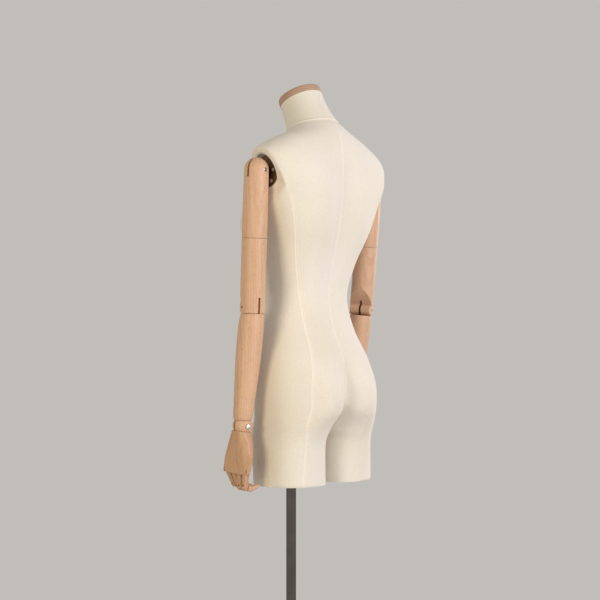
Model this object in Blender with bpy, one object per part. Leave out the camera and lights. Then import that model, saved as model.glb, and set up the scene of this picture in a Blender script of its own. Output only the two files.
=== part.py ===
# Dress form mannequin: a fabric covered torso on a pole stand, with jointed wooden arms and hands.
# Units are metres, +Z is up. The origin is on the floor, on the pole's axis. The figure faces -Y and
# its left side is +X. The pole stands in the left thigh, so the torso's mid-plane lies beside it.

import math

import bmesh
import bpy
import numpy as np

# Fits shared by every piece
GAP = 0.0003            # seating gap between pieces that touch
RUN = 0.0004            # running clearance of turning and sliding pieces
OVERCUT = 0.02          # how far a cutter reaches past the face it opens

# Stand
BASE_RADIUS = 0.180
BASE_EDGE = 0.006
BASE_CROWN = 0.010
POLE_RADIUS = 0.011
POLE_WALL = 0.0015
POLE_FOOT = 0.170
TUBE_WALL = 0.0024
TUBE_TOP = 0.395
HUB_RADIUS = 0.030
HUB_HEIGHT = 0.028
COLLAR_RADIUS = 0.0235
COLLAR_HEIGHT = 0.036
KNOB_RADIUS = 0.017
KNOB_LENGTH = 0.022
KNOB_NECK = 0.008
SCREW_RADIUS = 0.004
SOCKET_WALL = 0.0028
SOCKET_DEPTH = 0.112
SOCKET_END = 0.004

# Torso levels and skins
LEG_END = 0.689
CROTCH = 0.812
LEG_SPACING = 0.0775    # mid-plane to leg axis, which is also the pole's axis
LEG_PARTING = 0.011     # mid-plane to inner thigh at the leg's end
PARTING_EASE = 0.025    # height over which the inner thighs draw apart
PARTING = {"back": (0.885, 0.812, 0.5), "front": (0.848, 0.790, 1.5)}     # start, end and crossing slope
NECK_SEAM = 1.492
NECK_TOP = 1.546
NECK_TILT = math.radians(22)
NECK_FORWARD = 0.039
SEAM_TILT = 0.22        # the neck seam's rise from front to back
SEAM_BACK = 0.030       # where the tilted seam keeps its height
SEAM_REACH = 0.050
COVER = 0.0020
SHELL = 0.0035
ARMHOLE_PLANE = 0.170
ARMHOLE_EASE = 0.004
ARMHOLE_RADIUS = 0.0380
ARMHOLE_FLARE = (0.75, 1.20, 0.42)     # the opening leans out to the back and the top, and how steeply
CUP_DEPTH = 0.0125
CUP_WALL = 0.0015
BOARD = 0.012
CAP_THICK = 0.0165
CAP_OVERHANG = 0.0004

# Torso stations: height, half width, side y, front y, back y, front and back squareness
STATIONS = np.array([
    (0.770, 0.156, 0.000, -0.092, 0.0720, 2.3, 2.5),
    (0.800, 0.156, 0.000, -0.093, 0.0755, 2.3, 2.5),
    (0.826, 0.157, 0.000, -0.096, 0.0815, 2.3, 2.5),
    (0.850, 0.158, 0.000, -0.098, 0.0880, 2.3, 2.5),
    (0.900, 0.159, 0.000, -0.099, 0.0955, 2.3, 2.4),
    (0.960, 0.151, -0.004, -0.100, 0.089, 2.3, 2.3),
    (1.030, 0.126, -0.014, -0.104, 0.062, 2.3, 2.3),
    (1.110, 0.108, -0.024, -0.106, 0.050, 2.3, 2.4),
    (1.180, 0.124, -0.018, -0.104, 0.062, 2.4, 2.7),
    (1.260, 0.152, -0.006, -0.098, 0.084, 2.5, 3.2),
    (1.310, 0.173, 0.004, -0.084, 0.090, 2.6, 3.1),
    (1.370, 0.199, 0.008, -0.062, 0.092, 2.6, 3.2),
    (1.420, 0.192, 0.008, -0.048, 0.086, 2.4, 2.6),
    (1.448, 0.145, 0.006, -0.046, 0.080, 2.0, 2.2),
    (1.472, 0.087, 0.002, -0.052, 0.068, 2.0, 2.0),
    (1.492, 0.059, -0.004, -0.060, 0.052, 2.0, 2.0),
    (1.520, 0.0478, -0.023, -0.073, 0.027, 2.0, 2.0),
    (1.560, 0.0453, -0.041, -0.089, 0.003, 2.0, 2.0),
])
# Hills over the plain oval: height, middle x and z, width, fall below and fall above
BUST = (0.057, 0.078, 1.268, 0.058, 0.050, 0.075)
SEAT = (0.0285, 0.070, 0.872, 0.060, 0.062, 0.085)
CLEFT = (0.012, 0.0, 0.875, 0.016, 0.060, 0.080)
BLADE = (0.010, 0.075, 1.335, 0.050, 0.080, 0.060)
SPINE = (0.006, 0.0, 1.130, 0.025, 0.160, 0.200)
NAPE = (0.008, 0.0, 1.340, 0.040, 0.120, 0.080)
LEG_SHIFT = {"front": 0.009, "back": 0.002}     # how far each face of a leg moves back at its end
COLUMNS = 13            # points from the front centre to the back centre of one half
LEG_COLUMNS = 5         # points across half of an inner thigh

# Arms
ARM_X = 0.2014
ARM_Y = 0.0083
PIN_HEIGHT = 1.370
HANG_FORWARD = {"left": math.radians(3.1), "right": math.radians(6.0)}
HANG_INWARD = {"left": math.radians(0.9), "right": math.radians(-0.6)}
ARM_SIDES = 16
TOP_RADIUS = 0.0265
TWIST_RADIUS = 0.0272
ELBOW_RADIUS = 0.0270
TWIST_DROP = 0.1457     # shoulder pin to twist line
ELBOW_DROP = 0.1475     # twist line to elbow pin
KNUCKLE = 0.013         # elbow pin to elbow line
SPIGOT_RADIUS = 0.009
SPIGOT_LENGTH = 0.030
PIN_RADIUS = 0.0028
SHOULDER_PIN = 0.0042
TONGUE = 0.0046
TONGUE_RADIUS = 0.0120
TONGUE_NECK = 0.008
SLOT_FLOOR = 0.016
ELBOW_SLOT_RISE = 0.021
SCOOP_START = 0.005
SCOOP_SLOPE = 1.654
SCOOP_REACH = 0.034
SCOOP_OUT = 0.050
SCOOP_MEET = (0.0044, 0.0122)     # where the knuckle's round runs into the scoop's slope
STEM_DEPTH = 0.042
STEM_HALF = 0.010
DISC_RADIUS = 0.0355
DISC_THICK = 0.0080
FLANGE_RADIUS = 0.0108
FLANGE_THICK = 0.0025
STUD_RADIUS = 0.005
SCREW_SPOTS = {"upper": (0.0152, 0.0035), "lower": (0.0120, -0.0205)}     # behind and above the pin
SCREW_HEAD = 0.0040
SCREW_SHANK = 0.0019
SCREW_LENGTH = 0.0065
TWIST_REST = {"left": math.radians(75), "right": math.radians(20)}
CARRY = math.radians(4.1)
FOREARM_LENGTH = 0.228
FOREARM = ((0.0, 0.0250), (0.015, 0.0266), (0.056, 0.0277), (0.100, 0.0272), (0.142, 0.0251),
           (0.185, 0.0228), (0.218, 0.0213), (0.228, 0.0200))
WRIST_RADIUS = 0.0212
WRIST_HALF = 0.0126
WRIST_SPIGOT = 0.006
WRIST_SPIGOT_LENGTH = 0.018
WRIST_YAW = math.radians(-14)
HAND_BEND = math.radians(6.5)     # outward rest of the hand on its pin
WRIST_HEAD = 0.0056
WRIST_SLOT = 0.0095     # wrist pin to the floor of the ball's slot

# Hands
PALM_END = 0.1030       # wrist pin to finger edge
PALM = ((0.0125, 0.0208, 0.0190, 0.0), (0.030, 0.0262, 0.0180, 0.001), (0.052, 0.0326, 0.0165, 0.002),
        (0.076, 0.0358, 0.0140, 0.001), (0.095, 0.0356, 0.0112, 0.0), (0.1030, 0.0348, 0.0100, 0.0))
PALM_SQUARE = 0.8
PALM_TURN = math.radians(16)      # the palm's set about the arm, against its pin
HAND_TONGUE = (0.0085, 0.0080, 0.0340)      # round, half width and depth of the tongue in the wrist
KNUCKLE_INSET = 0.0085
FINGER_PITCH = 0.0167
FINGER_WIDTH = 0.0138
FINGER_HEAD = 0.0070
FINGER_LENGTHS = (0.0450, 0.0445, 0.0385, 0.0360)
TIP_LENGTHS = (0.0250, 0.0290, 0.0360, 0.0440)
KNUCKLE_CURL = (40, 34, 15, 5)
TIP_CURL = (46, 52, 68, 78)
CURL_MOST = math.radians(53)      # the knuckle slots open this far towards the palm
TIP_BEND = math.radians(24)
FINGER_TONGUE = 0.0042
ROD_RADIUS = 0.0016
THUMB_SEAT = (0.0120, -0.0215, -0.0420)     # towards the palm, across the hand, along the hand
THUMB_LENGTH = 0.046
THUMB_CURL = 22
THUMB_NOTCH = 0.030

SIDES = {"left": 1, "right": -1}


def clear_scene():
    for item in list(bpy.data.objects):
        bpy.data.objects.remove(item, do_unlink=True)


def material(name, colour, roughness, metallic=0.0):
    made = bpy.data.materials.new(name)
    made.use_nodes = True
    shader = made.node_tree.nodes["Principled BSDF"]
    shader.inputs["Base Color"].default_value = (*colour, 1.0)
    shader.inputs["Roughness"].default_value = roughness
    shader.inputs["Metallic"].default_value = metallic
    return made


def empty(name, parent=None, place=(0, 0, 0), turn=(0, 0, 0)):
    made = bpy.data.objects.new(name, None)
    made.empty_display_size = 0.02
    made.location = place
    made.rotation_euler = turn
    made.parent = parent
    bpy.context.scene.collection.objects.link(made)
    return made


def solid(name, verts, faces, paint, parent=None, place=(0, 0, 0), turn=(0, 0, 0)):
    mesh = bpy.data.meshes.new(name)
    mesh.from_pydata([tuple(map(float, v)) for v in verts], [], faces)
    work = bmesh.new()
    work.from_mesh(mesh)
    bmesh.ops.recalc_face_normals(work, faces=work.faces)
    work.to_mesh(mesh)
    work.free()
    mesh.shade_smooth()
    mesh.set_sharp_from_angle(angle=math.radians(35))
    made = bpy.data.objects.new(name, mesh)
    made.location = place
    made.rotation_euler = turn
    made.parent = parent
    if paint:
        mesh.materials.append(paint)
    bpy.context.scene.collection.objects.link(made)
    return made


def loft(rings, closed=False):
    # Bridges rings of equally many points; the ends are capped, or joined to each other when closed.
    count = len(rings[0])
    verts = [point for ring in rings for point in ring]
    faces = []
    for i in range(len(rings) if closed else len(rings) - 1):
        low = i * count
        high = ((i + 1) % len(rings)) * count
        for j in range(count):
            k = (j + 1) % count
            faces.append((low + j, low + k, high + k, high + j))
    if not closed:
        faces.append(tuple(range(count)))
        faces.append(tuple(range((len(rings) - 1) * count, len(rings) * count)))
    return verts, faces


def circle(radius, height, sides, radius_y=None, centre=(0.0, 0.0)):
    across = radius if radius_y is None else radius_y
    turns = [2 * math.pi * (k + 0.5) / sides for k in range(sides)]
    return [(centre[0] + radius * math.cos(t), centre[1] + across * math.sin(t), height) for t in turns]


def turned(name, profile, sides, paint, parent=None, closed=False, **where):
    # A turned piece about its own Z; profile is (radius, height) from one end to the other.
    return solid(name, *loft([circle(r, h, sides) for r, h in profile], closed), paint, parent, **where)


def prism(name, outline, low, high, paint, parent=None, **where):
    # An outline in local X and Z, carried along local Y.
    rings = [[(x, y, z) for x, z in outline] for y in (low, high)]
    return solid(name, *loft(rings), paint, parent, **where)


def rod(name, radius, low, high, paint, parent=None, sides=12, **where):
    # A round bar along local Y.
    rings = [[(x, y, z) for x, z, _ in circle(radius, 0, sides)] for y in (low, high)]
    return solid(name, *loft(rings), paint, parent, **where)


def combine(target, tool, operation="DIFFERENCE"):
    step = target.modifiers.new(tool.name, "BOOLEAN")
    step.operation = operation
    step.solver = "EXACT"
    step.object = tool
    tool.hide_render = True
    tool.display_type = "WIRE"


def arc(radius, start, stop, steps, centre=(0.0, 0.0)):
    angles = [start + (stop - start) * k / steps for k in range(steps + 1)]
    return [(centre[0] + radius * math.cos(a), centre[1] + radius * math.sin(a)) for a in angles]


def station_rows(heights):
    # Reads every station column at the given heights with smooth slopes through the stations.
    known = STATIONS[:, 0]
    step = np.diff(known)
    below = np.clip(np.searchsorted(known, heights) - 1, 0, len(known) - 2)
    part = (heights - known[below]) / step[below]
    columns = []
    for values in STATIONS[:, 1:].T:
        slope = np.diff(values) / step
        lean = np.zeros_like(values)
        lean[1:-1] = (slope[:-1] * step[1:] + slope[1:] * step[:-1]) / (step[:-1] + step[1:])
        lean[-1] = slope[-1]
        read = (2 * part**3 - 3 * part**2 + 1) * values[below]
        read += (part**3 - 2 * part**2 + part) * step[below] * lean[below]
        read += (3 * part**2 - 2 * part**3) * values[below + 1]
        read += (part**3 - part**2) * step[below] * lean[below + 1]
        columns.append(read[:, None])
    return columns


def mound(x, z, hill):
    # A smooth hill over the surface, with its own fall below and above its middle.
    height, x_mid, z_mid, wide, low, high = hill
    return height * np.exp(-((x - x_mid) / wide) ** 2 - ((z - z_mid) / np.where(z < z_mid, low, high)) ** 2)


def ease(part):
    part = np.clip(part, 0, 1)
    return part * part * (3 - 2 * part)


def relief(x, z, down, front):
    # How far the surface stands out from its plain oval: bust in front, seat and shoulder blades behind.
    ahead = LEG_SHIFT["front"] * down - mound(x, z, BUST)
    raised = mound(x, z, SEAT) + mound(x, z, BLADE)
    behind = raised - mound(x, z, CLEFT) - mound(x, z, SPINE) - mound(x, z, NAPE)
    return np.where(front, ahead, behind + LEG_SHIFT["back"] * down)


def torso_half(levels):
    # The left half: an outer sheet from front centre to back centre, and the inner thigh's two sheets.
    width, side_y, front_y, back_y, front_n, back_n = station_rows(np.maximum(levels, STATIONS[0, 0]))
    across = np.linspace(-1, 1, COLUMNS)[None, :]
    front = across < 0
    tall = levels[:, None]
    down = ease((CROTCH - tall) / (CROTCH - LEG_END))
    middle = {}
    inner = {}
    for name, (start, end, slope) in PARTING.items():
        middle[name] = LEG_SPACING * ease((start - tall) / (start - end))
        apart = LEG_PARTING * ease((CROTCH - tall) / PARTING_EASE) - slope * np.maximum(tall - CROTCH, 0)
        wide = np.maximum(middle[name] - apart, 1e-9)
        power = 2 / (front_n if name == "front" else back_n)
        first = np.arccos(np.where(apart < 0, middle[name] / wide, 1) ** (1 / power))
        angle = np.pi / 2 + (first - np.pi / 2) * np.linspace(0, 1, LEG_COLUMNS)[None, :]
        x = np.maximum(middle[name] - wide * np.cos(angle) ** power, 0)
        z = np.repeat(tall, LEG_COLUMNS, 1)
        edge = (front_y if name == "front" else back_y) + relief(x, z, down, name == "front")
        y = side_y + (edge - side_y) * np.sin(angle) ** power
        inner[name] = np.stack([x, y, z], -1)[levels <= start]
    power = 2 / np.where(front, front_n, back_n)
    inset = np.where(front, middle["front"], middle["back"])
    x = inset + (width - inset) * np.abs(np.cos(across * np.pi / 2)) ** power
    z = np.repeat(tall, COLUMNS, 1)
    deep = np.where(front, front_y, back_y) - side_y
    y = side_y + deep * np.abs(np.sin(across * np.pi / 2)) ** power + relief(x, z, down, front)
    to_back, to_top, slope = ARMHOLE_FLARE
    plane = ARMHOLE_PLANE + slope * np.maximum(to_back * (y - ARM_Y) + to_top * (z - PIN_HEIGHT), 0)
    past = np.clip(x - plane, -ARMHOLE_EASE, ARMHOLE_EASE)
    x = np.minimum(x, plane + ARMHOLE_EASE) - (past + ARMHOLE_EASE) ** 2 / (4 * ARMHOLE_EASE)
    lift = np.clip((z - NECK_SEAM) / (NECK_TOP - NECK_SEAM), 0, 1)
    tilt = SEAM_TILT * (1 - lift) * np.exp(-((z - NECK_SEAM) / SEAM_REACH) ** 2)
    z = z + lift * math.tan(NECK_TILT) * (y + NECK_FORWARD) + tilt * (y - SEAM_BACK)
    return np.stack([x, y, z], -1), inner["back"], inner["front"]


def torso_levels():
    back, front = PARTING["back"][0], PARTING["front"][0]
    spans = ((LEG_END, 0.788, 3), (0.788, CROTCH, 2), (CROTCH, front, 2), (front, back, 2), (back, 1.260, 9),
             (1.260, 1.420, 6), (1.420, NECK_SEAM, 4), (NECK_SEAM, NECK_TOP, 3))
    return np.concatenate([np.linspace(a, b, n, endpoint=b == NECK_TOP) for a, b, n in spans])


def grid_faces(rows, columns, start):
    faces = []
    for i in range(rows - 1):
        for j in range(columns - 1):
            at = start + i * columns + j
            faces.append((at, at + 1, at + columns + 1, at + columns))
    return faces


def torso_sheet():
    # Both halves welded into one sheet of triangles, open at the neck and at both leg ends.
    sheets = torso_half(torso_levels())
    verts = []
    faces = []
    for sign in (1, -1):
        for sheet in sheets:
            faces += grid_faces(*sheet.shape[:2], len(verts))
            verts += list(sheet.reshape(-1, 3) * (sign, 1, 1))
    work = bmesh.new()
    points = [work.verts.new(v) for v in verts]
    for face in faces:
        work.faces.new([points[k] for k in face])
    bmesh.ops.remove_doubles(work, verts=work.verts, dist=0.00005)
    bmesh.ops.dissolve_degenerate(work, edges=work.edges, dist=0.00005)
    bmesh.ops.triangulate(work, faces=work.faces)
    bmesh.ops.recalc_face_normals(work, faces=work.faces)
    work.normal_update()
    work.verts.index_update()
    points = np.array([v.co for v in work.verts])
    normals = np.array([v.normal for v in work.verts])
    chest = int(np.argmin(points[:, 1]))
    if normals[chest, 1] > 0:
        normals = -normals
    plane = np.array([0, -math.sin(NECK_TILT), math.cos(NECK_TILT)])
    rim = np.array([v.is_boundary for v in work.verts])
    neck = rim & (points[:, 2] > NECK_SEAM)
    foot = rim & (points[:, 2] < CROTCH)
    normals[neck] -= (normals[neck] @ plane)[:, None] * plane
    normals[foot, 2] = 0
    normals /= np.linalg.norm(normals, axis=1)[:, None]
    triangles = [tuple(v.index for v in f.verts) for f in work.faces]
    edges = [tuple(v.index for v in e.verts) for e in work.edges if e.is_boundary]
    work.free()
    return points, normals, triangles, edges


def torso_skin(name, sheet, outside, inside, paint, parent):
    # A closed skin between two depths below the torso sheet.
    points, normals, triangles, edges = sheet
    count = len(points)
    verts = np.concatenate([points - normals * outside, points - normals * inside])
    faces = list(triangles)
    faces += [(c + count, b + count, a + count) for a, b, c in triangles]
    faces += [(a, b, b + count, a + count) for a, b in edges]
    made = solid(name, verts, faces, paint, parent)
    for side, sign in SIDES.items():
        hole = rod(f"{name}_armhole_{side}", ARMHOLE_RADIUS, 0, 3 * OVERCUT, None, parent, 20,
                   place=(sign * (ARMHOLE_PLANE - OVERCUT), ARM_Y, PIN_HEIGHT),
                   turn=(0, 0, -sign * math.pi / 2))
        combine(made, hole)


def leg_outline(inset):
    # The leg's end, drawn in by an inset, as X and Y points of the left leg.
    outer, back, front = torso_half(np.array([LEG_END, CROTCH]))
    ring = np.concatenate([outer[0], back[0][1:], front[0][-2:0:-1]])[:, :2]
    ahead = np.roll(ring, -1, 0) - np.roll(ring, 1, 0)
    normal = np.stack([ahead[:, 1], -ahead[:, 0]], -1)
    normal /= np.linalg.norm(normal, axis=1)[:, None]
    return ring - normal * inset


def make_stand(paint):
    tube_in = POLE_RADIUS + RUN
    tube_out = tube_in + TUBE_WALL
    tube_foot = BASE_CROWN + GAP
    profile = ((BASE_RADIUS - 0.002, 0), (BASE_RADIUS, 0.002), (BASE_RADIUS, BASE_EDGE - 0.002),
               (BASE_RADIUS - 0.003, BASE_EDGE), (HUB_RADIUS + 0.01, BASE_CROWN), (0.004, BASE_CROWN))
    turned("base_plate", profile, 32, paint["black"])
    hub_in = tube_out + GAP
    hub_top = tube_foot + HUB_HEIGHT
    turned("base_hub", ((HUB_RADIUS, tube_foot), (HUB_RADIUS, hub_top - 0.006), (hub_in + 0.004, hub_top),
                        (hub_in, hub_top), (hub_in, tube_foot)), 24, paint["black"], closed=True)
    tube = turned("lower_tube", ((tube_out, tube_foot), (tube_out, TUBE_TOP), (tube_in, TUBE_TOP),
                                 (tube_in, tube_foot)), 20, paint["steel"], closed=True)
    bore = POLE_RADIUS - POLE_WALL
    pole_top = LEG_END + SOCKET_DEPTH - SOCKET_END - GAP
    turned("upper_pole", ((POLE_RADIUS, POLE_FOOT), (POLE_RADIUS, pole_top), (bore, pole_top),
                          (bore, POLE_FOOT)), 20, paint["steel"], closed=True)
    collar_in = tube_out + GAP
    collar_top = TUBE_TOP + 0.004
    collar_foot = collar_top - COLLAR_HEIGHT
    lip = POLE_RADIUS + RUN
    collar = turned("clamp_collar", (
        (COLLAR_RADIUS - 0.002, collar_foot), (COLLAR_RADIUS, collar_foot + 0.002),
        (COLLAR_RADIUS, collar_top - 0.003), (COLLAR_RADIUS - 0.003, collar_top), (lip, collar_top),
        (lip, TUBE_TOP + GAP), (collar_in, TUBE_TOP + GAP), (collar_in, collar_foot)),
        24, paint["black"], closed=True)
    screw_level = collar_foot + COLLAR_HEIGHT / 2
    stem = COLLAR_RADIUS + KNOB_NECK
    knob = empty("knob_axis", None, (0, 0, screw_level), (math.pi / 2, 0, math.pi / 2))
    for target in (tube, collar):
        hole = turned(f"{target.name}_screw_hole", ((SCREW_RADIUS + RUN, 0.006), (SCREW_RADIUS + RUN, stem)),
                      12, None, knob)
        combine(target, hole)
    turned("clamp_knob", (
        (SCREW_RADIUS, POLE_RADIUS + GAP), (SCREW_RADIUS, stem - 0.004), (0.009, stem - 0.004),
        (0.009, stem), (KNOB_RADIUS - 0.002, stem), (KNOB_RADIUS, stem + 0.003),
        (KNOB_RADIUS, stem + KNOB_LENGTH - 0.004), (KNOB_RADIUS - 0.004, stem + KNOB_LENGTH)),
        16, paint["plastic"], knob)


def make_torso(paint, form):
    sheet = torso_sheet()
    torso_skin("fabric_cover", sheet, 0, COVER, paint["fabric"], form)
    torso_skin("torso_shell", sheet, COVER + GAP, COVER + GAP + SHELL, paint["fibre"], form)
    neck = empty("neck_axis", form, (0, -NECK_FORWARD, NECK_TOP), (NECK_TILT, 0, 0))
    width, _, front_y, back_y, _, _ = (column[0, 0] for column in station_rows(np.array([NECK_TOP])))
    across = width + CAP_OVERHANG
    along = (back_y - front_y) / 2 / math.cos(NECK_TILT) + CAP_OVERHANG
    centre = (0, ((back_y + front_y) / 2 + NECK_FORWARD) / math.cos(NECK_TILT))
    rings = ((0.0015, GAP), (0, GAP + 0.0015), (0, CAP_THICK - 0.004), (0.0012, CAP_THICK - 0.0012),
             (0.004, CAP_THICK))
    rings = [circle(across - inset, h, 24, along - inset, centre) for inset, h in rings]
    solid("neck_cap", *loft(rings), paint["beech"], neck)
    inset = COVER + GAP + SHELL + GAP + RUN
    outline = leg_outline(inset)
    socket_out = POLE_RADIUS + RUN + SOCKET_WALL
    for side, sign in SIDES.items():
        rings = [[(sign * x, y, z) for x, y in outline] for z in (LEG_END + COVER, LEG_END + COVER + BOARD)]
        board = solid(f"leg_board_{side}", *loft(rings), paint["ply"], form)
        if side == "left":
            hole = turned("leg_board_hole", ((socket_out + GAP, LEG_END - OVERCUT),
                                             (socket_out + GAP, LEG_END + OVERCUT)), 20, None, form,
                          place=(LEG_SPACING, 0, 0))
            combine(board, hole)
        make_cup(side, sign, paint, form)
    inside = POLE_RADIUS + RUN
    top = LEG_END + SOCKET_DEPTH
    turned("pole_socket", (
        (0.002, top - SOCKET_END), (inside, top - SOCKET_END), (inside, LEG_END + COVER),
        (socket_out, LEG_END + COVER), (socket_out, top), (0.002, top)), 20, paint["steel"], form,
        place=(LEG_SPACING, 0, 0))


def make_cup(side, sign, paint, form):
    # The cup in the armhole; its wall is trimmed to the leaning opening.
    axis = empty(f"cup_axis_{side}", form, (sign * (ARMHOLE_PLANE - CUP_DEPTH), ARM_Y, PIN_HEIGHT),
                 (0, sign * math.pi / 2, 0))
    to_back, to_top, slope = ARMHOLE_FLARE
    lean = slope * math.hypot(to_back, to_top)
    reach = ARMHOLE_RADIUS + OVERCUT
    radius = ARMHOLE_RADIUS - GAP
    lip = CUP_DEPTH + lean * reach
    plate = turned(f"shoulder_plate_{side}", (
        (STUD_RADIUS + RUN, -BOARD), (radius, -BOARD), (radius, lip), (radius - CUP_WALL, lip),
        (radius - CUP_WALL, 0), (STUD_RADIUS + RUN, 0)), 20, paint["alloy"], axis, closed=True)
    clear = lip + OVERCUT
    outline = ((-reach, CUP_DEPTH), (0, CUP_DEPTH), (reach, lip), (reach, clear), (-reach, clear))
    trim = prism(f"shoulder_plate_{side}_trim", outline, -reach, reach, None, axis,
                 turn=(0, 0, math.atan2(to_back, -sign * to_top)))
    combine(plate, trim)


def make_shoulder(side, sign, paint, swing):
    # The turning disc, the steel tongue whose stud runs into the plate, its pin and two screws.
    plate_face = ARMHOLE_PLANE - CUP_DEPTH - ARM_X
    back = plate_face + GAP
    face = back + DISC_THICK
    facing = {"turn": (0, sign * math.pi / 2, 0)}
    disc = turned(f"shoulder_disc_{side}", (
        (DISC_RADIUS, back), (DISC_RADIUS, face - 0.0015), (DISC_RADIUS - 0.0015, face)),
        20, paint["walnut"], swing, **facing)
    pocket = turned(f"shoulder_disc_{side}_pocket", (
        (FLANGE_RADIUS + GAP, face - FLANGE_THICK - GAP), (FLANGE_RADIUS + GAP, face + OVERCUT)),
        20, None, swing, **facing)
    combine(disc, pocket)
    hole = turned(f"shoulder_disc_{side}_hole", (
        (STUD_RADIUS + GAP, back - OVERCUT), (STUD_RADIUS + GAP, face + OVERCUT)), 12, None, swing, **facing)
    combine(disc, hole)
    bracket = turned(f"shoulder_bracket_{side}", (
        (STUD_RADIUS, back - BOARD), (STUD_RADIUS, face - FLANGE_THICK), (FLANGE_RADIUS, face - FLANGE_THICK),
        (FLANGE_RADIUS, face)), 20, paint["steel"], swing, **facing)
    reach = face - 0.001
    outline = [(sign * reach, -TONGUE_NECK), (sign * reach, TONGUE_NECK)]
    outline += [(sign * x, z) for x, z in arc(TONGUE_RADIUS, math.radians(140), math.radians(-140), 14)]
    tongue = prism(f"shoulder_tongue_{side}", outline, -TONGUE / 2, TONGUE / 2, None, swing)
    combine(bracket, tongue, "UNION")
    bracket_hole = rod(f"shoulder_bracket_{side}_hole", SHOULDER_PIN + RUN, -OVERCUT, OVERCUT, None, swing)
    combine(bracket, bracket_hole)
    half = TOP_RADIUS - 0.0012
    rod(f"shoulder_pin_{side}", SHOULDER_PIN, -half, half, paint["steel"], swing)
    for name, spot in SCREW_SPOTS.items():
        screw = turned(f"shoulder_screw_{name}_{side}", (
            (SCREW_SHANK, face - SCREW_LENGTH), (SCREW_SHANK, face - 0.0022), (SCREW_HEAD, face - 0.0004),
            (SCREW_HEAD - 0.0006, face + 0.0004)), 12, paint["steel"], swing,
            place=(0, *spot), **facing)
        sink = turned(f"{screw.name}_sink", (
            (SCREW_SHANK + GAP, face - SCREW_LENGTH - GAP), (SCREW_SHANK + GAP, face - 0.0022 - GAP),
            (SCREW_HEAD + GAP, face - 0.0004 - GAP), (SCREW_HEAD + GAP, face + OVERCUT)),
            12, None, swing, place=screw.location, **facing)
        combine(disc, sink)


def make_upper_arm(side, sign, paint, lift, twist):
    dome = [(TOP_RADIUS * math.sin(a), TOP_RADIUS * math.cos(a))
            for a in (math.radians(d) for d in (6, 22, 40, 60, 78, 90))]
    profile = dome + [(TWIST_RADIUS, -TWIST_DROP * 0.6), (TWIST_RADIUS, -TWIST_DROP + 0.0015),
                      (TWIST_RADIUS - 0.001, -TWIST_DROP + GAP), (SPIGOT_RADIUS, -TWIST_DROP + GAP),
                      (SPIGOT_RADIUS, -TWIST_DROP - SPIGOT_LENGTH)]
    top = turned(f"upper_arm_{side}", profile, ARM_SIDES, paint["beech"], lift)
    wide = TONGUE / 2 + RUN
    reach = TOP_RADIUS + OVERCUT
    slot = prism(f"upper_arm_{side}_slot", ((-reach, -SLOT_FLOOR), (reach, -SLOT_FLOOR), (reach, reach),
                                            (-reach, reach)), -wide, wide, None, lift)
    combine(top, slot)
    hole = rod(f"upper_arm_{side}_hole", SHOULDER_PIN + RUN, -reach, reach, None, lift)
    combine(top, hole)

    bottom = -ELBOW_DROP - KNUCKLE
    low = turned(f"lower_sleeve_{side}", (
        (TWIST_RADIUS - 0.001, -GAP), (TWIST_RADIUS, -0.0015), (ELBOW_RADIUS, -ELBOW_DROP * 0.5),
        (ELBOW_RADIUS, bottom + 0.006), (ELBOW_RADIUS - 0.0018, bottom + 0.0018),
        (ELBOW_RADIUS - 0.006, bottom)), ARM_SIDES, paint["beech"], twist)
    bore = turned(f"lower_sleeve_{side}_bore", ((SPIGOT_RADIUS + RUN, -SPIGOT_LENGTH - 0.001),
                                                (SPIGOT_RADIUS + RUN, OVERCUT)), 20, None, twist)
    combine(low, bore)
    slot = prism(f"lower_sleeve_{side}_slot", (
        (-reach, bottom - OVERCUT), (reach, bottom - OVERCUT), (reach, -ELBOW_DROP + ELBOW_SLOT_RISE),
        (-reach, -ELBOW_DROP + ELBOW_SLOT_RISE)), -wide, wide, None, twist)
    combine(low, slot)
    scoop = arc(KNUCKLE, -math.pi / 2, math.atan2(SCOOP_MEET[1], SCOOP_MEET[0]), 10)
    scoop_top = SCOOP_START + SCOOP_SLOPE * SCOOP_REACH
    scoop += [(SCOOP_REACH, scoop_top), (SCOOP_OUT, scoop_top), (SCOOP_OUT, -KNUCKLE - OVERCUT),
              (0.0, -KNUCKLE - OVERCUT)]
    scoop = prism(f"lower_sleeve_{side}_scoop", [(-sign * x, z - ELBOW_DROP) for x, z in scoop],
                  -reach, reach, None, twist)
    combine(low, scoop)
    half = ELBOW_RADIUS - 0.0012
    pin_hole = rod(f"lower_sleeve_{side}_hole", PIN_RADIUS + GAP, -reach, reach, None, twist,
                   place=(0, 0, -ELBOW_DROP))
    combine(low, pin_hole)
    rod(f"elbow_pin_{side}", PIN_RADIUS, -half, half, paint["steel"], twist, place=(0, 0, -ELBOW_DROP))


def make_forearm(side, paint, elbow):
    drift = math.tan(CARRY)
    face = KNUCKLE + GAP
    rings = [circle(r, -face - h, ARM_SIDES, r, (0, -drift * h)) for h, r in FOREARM]
    arm = solid(f"forearm_{side}", *loft(rings), paint["beech"], elbow)
    thick = TONGUE / 2
    pocket = prism(f"forearm_{side}_pocket", (
        (-STEM_HALF - GAP, -STEM_DEPTH - GAP), (STEM_HALF + GAP, -STEM_DEPTH - GAP), (STEM_HALF + GAP, 0),
        (-STEM_HALF - GAP, 0)), -thick - GAP, thick + GAP, None, elbow)
    combine(arm, pocket)
    outline = [(STEM_HALF, -STEM_DEPTH)]
    outline += arc(TONGUE_RADIUS, math.radians(-32), math.radians(212), 14)
    outline += [(-STEM_HALF, -STEM_DEPTH)]
    tongue = prism(f"elbow_tongue_{side}", outline, -thick, thick, paint["steel"], elbow)
    hole = rod(f"elbow_tongue_{side}_hole", PIN_RADIUS + RUN, -OVERCUT, OVERCUT, None, elbow)
    combine(tongue, hole)
    return arm


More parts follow.
